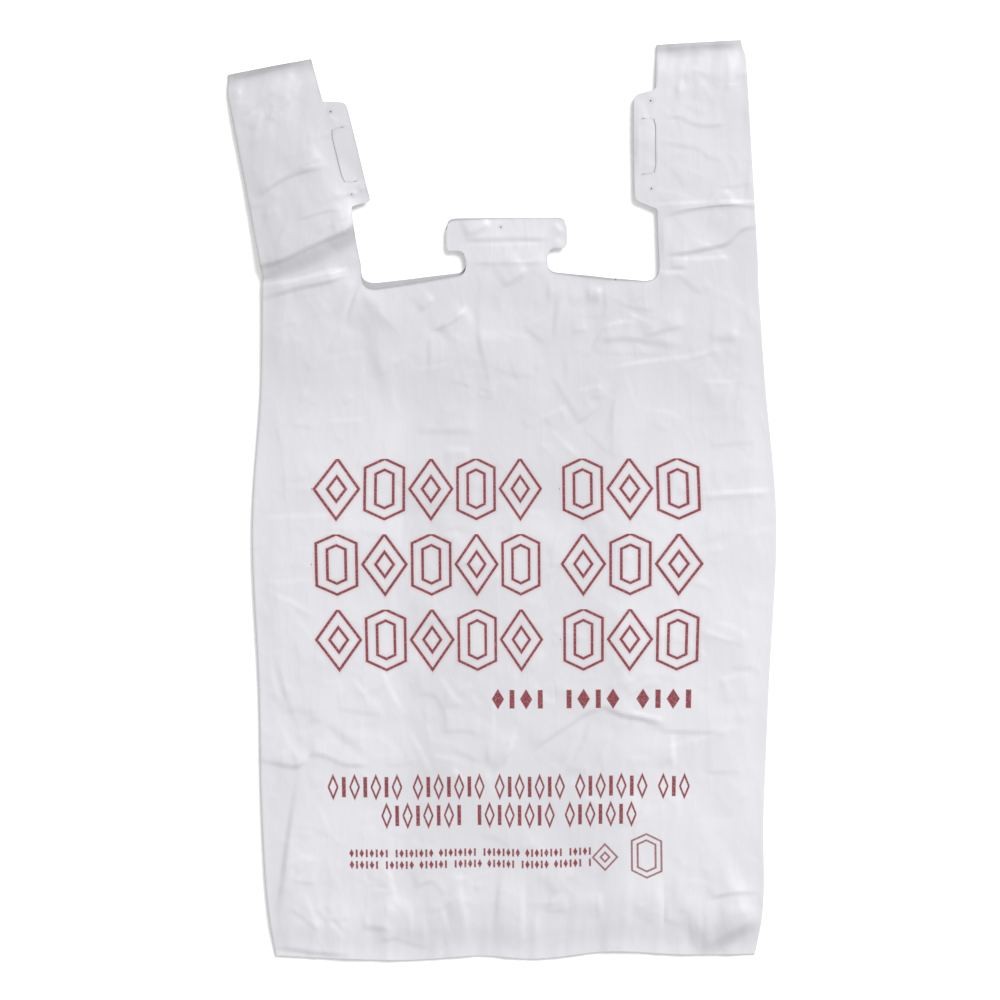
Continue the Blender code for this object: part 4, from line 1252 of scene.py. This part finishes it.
def floor_material(settings):
    """White paper to the camera, to gloss and to transmission, and a plain diffuser to the rest,
    so the bag's shadow stays on it."""
    material = bpy.data.materials.new("white_table")
    material.use_nodes = True
    tree = material.node_tree
    tree.nodes.clear()
    nodes = Nodes(tree)
    path = nodes.add("ShaderNodeLightPath")
    seen = nodes.plus(path.outputs["Is Camera Ray"], path.outputs["Is Glossy Ray"], clamp=True)
    seen = nodes.plus(seen, path.outputs["Is Transmission Ray"], clamp=True)
    plain = nodes.add("ShaderNodeBsdfDiffuse", {"Color": (0.8, 0.8, 0.8, 1)})
    white = nodes.add("ShaderNodeBsdfDiffuse", {"Color": (0.95, 0.95, 0.95, 1)})
    glow = nodes.add("ShaderNodeEmission", {"Color": (1, 1, 1, 1), "Strength": settings.floor_glow})
    paper = nodes.add("ShaderNodeAddShader", {0: white.outputs[0], 1: glow.outputs[0]})
    both = nodes.add("ShaderNodeMixShader", {0: seen, 1: plain.outputs[0], 2: paper.outputs[0]})
    nodes.add("ShaderNodeOutputMaterial", {"Surface": both.outputs[0]})
    return material


# ---------------------------------------------------------------- settings, operators, panel


def number(name, description, default, unit="NONE", subtype="NONE"):
    return FloatProperty(
        name=name, description=description, default=default, unit=unit, subtype=subtype,
        precision=5 if unit == "LENGTH" else 3)


def colour(name, description, default):
    return FloatVectorProperty(
        name=name, description=description, default=default, subtype="COLOR", size=3, min=0, max=1)


class FilmSettings(bpy.types.PropertyGroup):
    grid: number("Grid", "Size of the front film's faces", 0.00128, "LENGTH")
    hidden_grid: number("Hidden grid", "Width of the faces under the front ply", 0.010, "LENGTH")
    film: number("Film", "Thickness of the film", 0.0002, "LENGTH")
    pin: number("Pin hole", "Diameter of the holes of the block pins", 0.0009, "LENGTH")
    slit: number("Slit", "How far the slit in each ear stands open", 0.0003, "LENGTH")
    pillow: number("Pillow", "How far the front film stands off the plies under it", 0.0007, "LENGTH")
    waves: number("Waves", "Strength of the slow waves in the front film", 1.5)
    gathers: number("Gathers", "Strength of the small pleats at the seals", 1.5)
    creases: number("Creases", "Strength of the folded-in creases", 1.0)
    crinkles: IntProperty(
        name="Crinkles", description="How many small random creases there are", default=900)
    crinkle_tone: number("Crinkle strength", "How strong the small random creases are", 5.0)
    seed: IntProperty(name="Seed", description="Which random crinkles are drawn", default=7)


class FinishSettings(bpy.types.PropertyGroup):
    film_colour: colour("Film colour", "Colour of the film", (0.735, 0.735, 0.765))
    roughness: number("Roughness", "Roughness of the film", 0.38, subtype="FACTOR")
    crinkle: number("Surface crinkle", "Strength of the finest crinkle", 0.22, subtype="FACTOR")
    ink: colour("Ink", "Colour of the print", (0.25, 0.028, 0.04))
    bleed: number("Bleed", "Strength of the faint tint about the printed lines", 0.3, subtype="FACTOR")
    bleed_colour: colour("Bleed colour", "Colour of that tint", (0.62, 0.46, 0.5))


class StageSettings(bpy.types.PropertyGroup):
    camera_height: number("Camera height", "Height of the camera over the table", 3.0, "LENGTH")
    view_width: number("View width", "Width of the picture at the table", 0.611, "LENGTH")
    key_size: number("Key size", "Width of the large soft lamp", 4.5, "LENGTH")
    key_power: number("Key power", "Power of the large soft lamp", 760.0, "POWER")
    dome: number("Dome", "Strength of the light from all round", 0.4)
    floor_glow: number("Table glow", "Light that the table adds of its own", 0.3)


KEY_PLACE = (3.9, 5.0, 6.4)
CAMERA_ASIDE = -0.0012
TABLE_HALF = 4.0
TABLE_DROP = 0.0003


class CARRIER_OT_film(bpy.types.Operator):
    """Makes the bag's film and gives it its material"""

    bl_idname = "carrier.film"
    bl_label = "Film"

    def execute(self, context):
        scene = context.scene
        material = film_material(scene.carrier_finish)
        for piece in make_film(scene.carrier_film):
            piece.data.materials.append(material)
            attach(piece, "root")
            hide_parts("carrier_bag")
        return {"FINISHED"}


class CARRIER_OT_stage(bpy.types.Operator):
    """Makes the table, the lamp, the light from all round and the camera"""

    bl_idname = "carrier.stage"
    bl_label = "Stage"

    def execute(self, context):
        scene = context.scene
        settings = scene.carrier_stage
        mesh = bpy.data.meshes.new("white_table")
        corners = [(x * TABLE_HALF, y * TABLE_HALF, 0) for x, y in ((-1, -1), (1, -1), (1, 1), (-1, 1))]
        mesh.from_pydata(corners, [], [(0, 1, 2, 3)])
        mesh.materials.append(floor_material(settings))
        table = bpy.data.objects.new("white_table", mesh)
        scene.collection.objects.link(table)
        table.location.z = BAG_LOW[2] - TABLE_DROP
        lamp = bpy.data.lights.new("key", "AREA")
        lamp.shape, lamp.size, lamp.energy = "DISK", settings.key_size, settings.key_power
        key = bpy.data.objects.new("key", lamp)
        key.location = KEY_PLACE
        key.rotation_euler = (-key.location).to_track_quat("-Z", "Y").to_euler()
        scene.collection.objects.link(key)
        world = bpy.data.worlds.new("dome")
        world.use_nodes = True
        background = world.node_tree.nodes["Background"]
        background.inputs["Color"].default_value = (1, 1, 1, 1)
        background.inputs["Strength"].default_value = settings.dome
        scene.world = world
        camera = bpy.data.objects.new("camera", bpy.data.cameras.new("camera"))
        camera.location = (CAMERA_ASIDE, 0.0, settings.camera_height)
        camera.data.lens = camera.data.sensor_width * settings.camera_height / settings.view_width
        camera.data.clip_end = 50
        scene.collection.objects.link(camera)
        scene.camera = camera
        scene.view_settings.view_transform = "Standard"
        return {"FINISHED"}


class CARRIER_PT_panel(bpy.types.Panel):
    """Lists the bag's pieces and their settings"""

    bl_idname = "CARRIER_PT_panel"
    bl_label = "Carrier bag"
    bl_space_type = "VIEW_3D"
    bl_region_type = "UI"
    bl_category = "Carrier bag"

    def draw(self, context):
        scene = context.scene
        for operator, groups in (
            ("carrier.film", (scene.carrier_film, scene.carrier_finish)),
            ("carrier.stage", (scene.carrier_stage,)),
        ):
            box = self.layout.box()
            for group in groups:
                for name in group.__annotations__:
                    box.prop(group, name)
            box.operator(operator)


CLASSES = (
    FilmSettings, FinishSettings, StageSettings, CARRIER_OT_film, CARRIER_OT_stage, CARRIER_PT_panel,
)


def register():
    for kind in CLASSES:
        bpy.utils.register_class(kind)
    bpy.types.Scene.carrier_film = PointerProperty(type=FilmSettings)
    bpy.types.Scene.carrier_finish = PointerProperty(type=FinishSettings)
    bpy.types.Scene.carrier_stage = PointerProperty(type=StageSettings)


def unregister():
    del bpy.types.Scene.carrier_stage
    del bpy.types.Scene.carrier_finish
    del bpy.types.Scene.carrier_film
    for kind in reversed(CLASSES):
        bpy.utils.unregister_class(kind)


def main():
    register()
    bpy.ops.carrier.film()
    bpy.ops.carrier.stage()


if __name__ == "__main__":
    main()
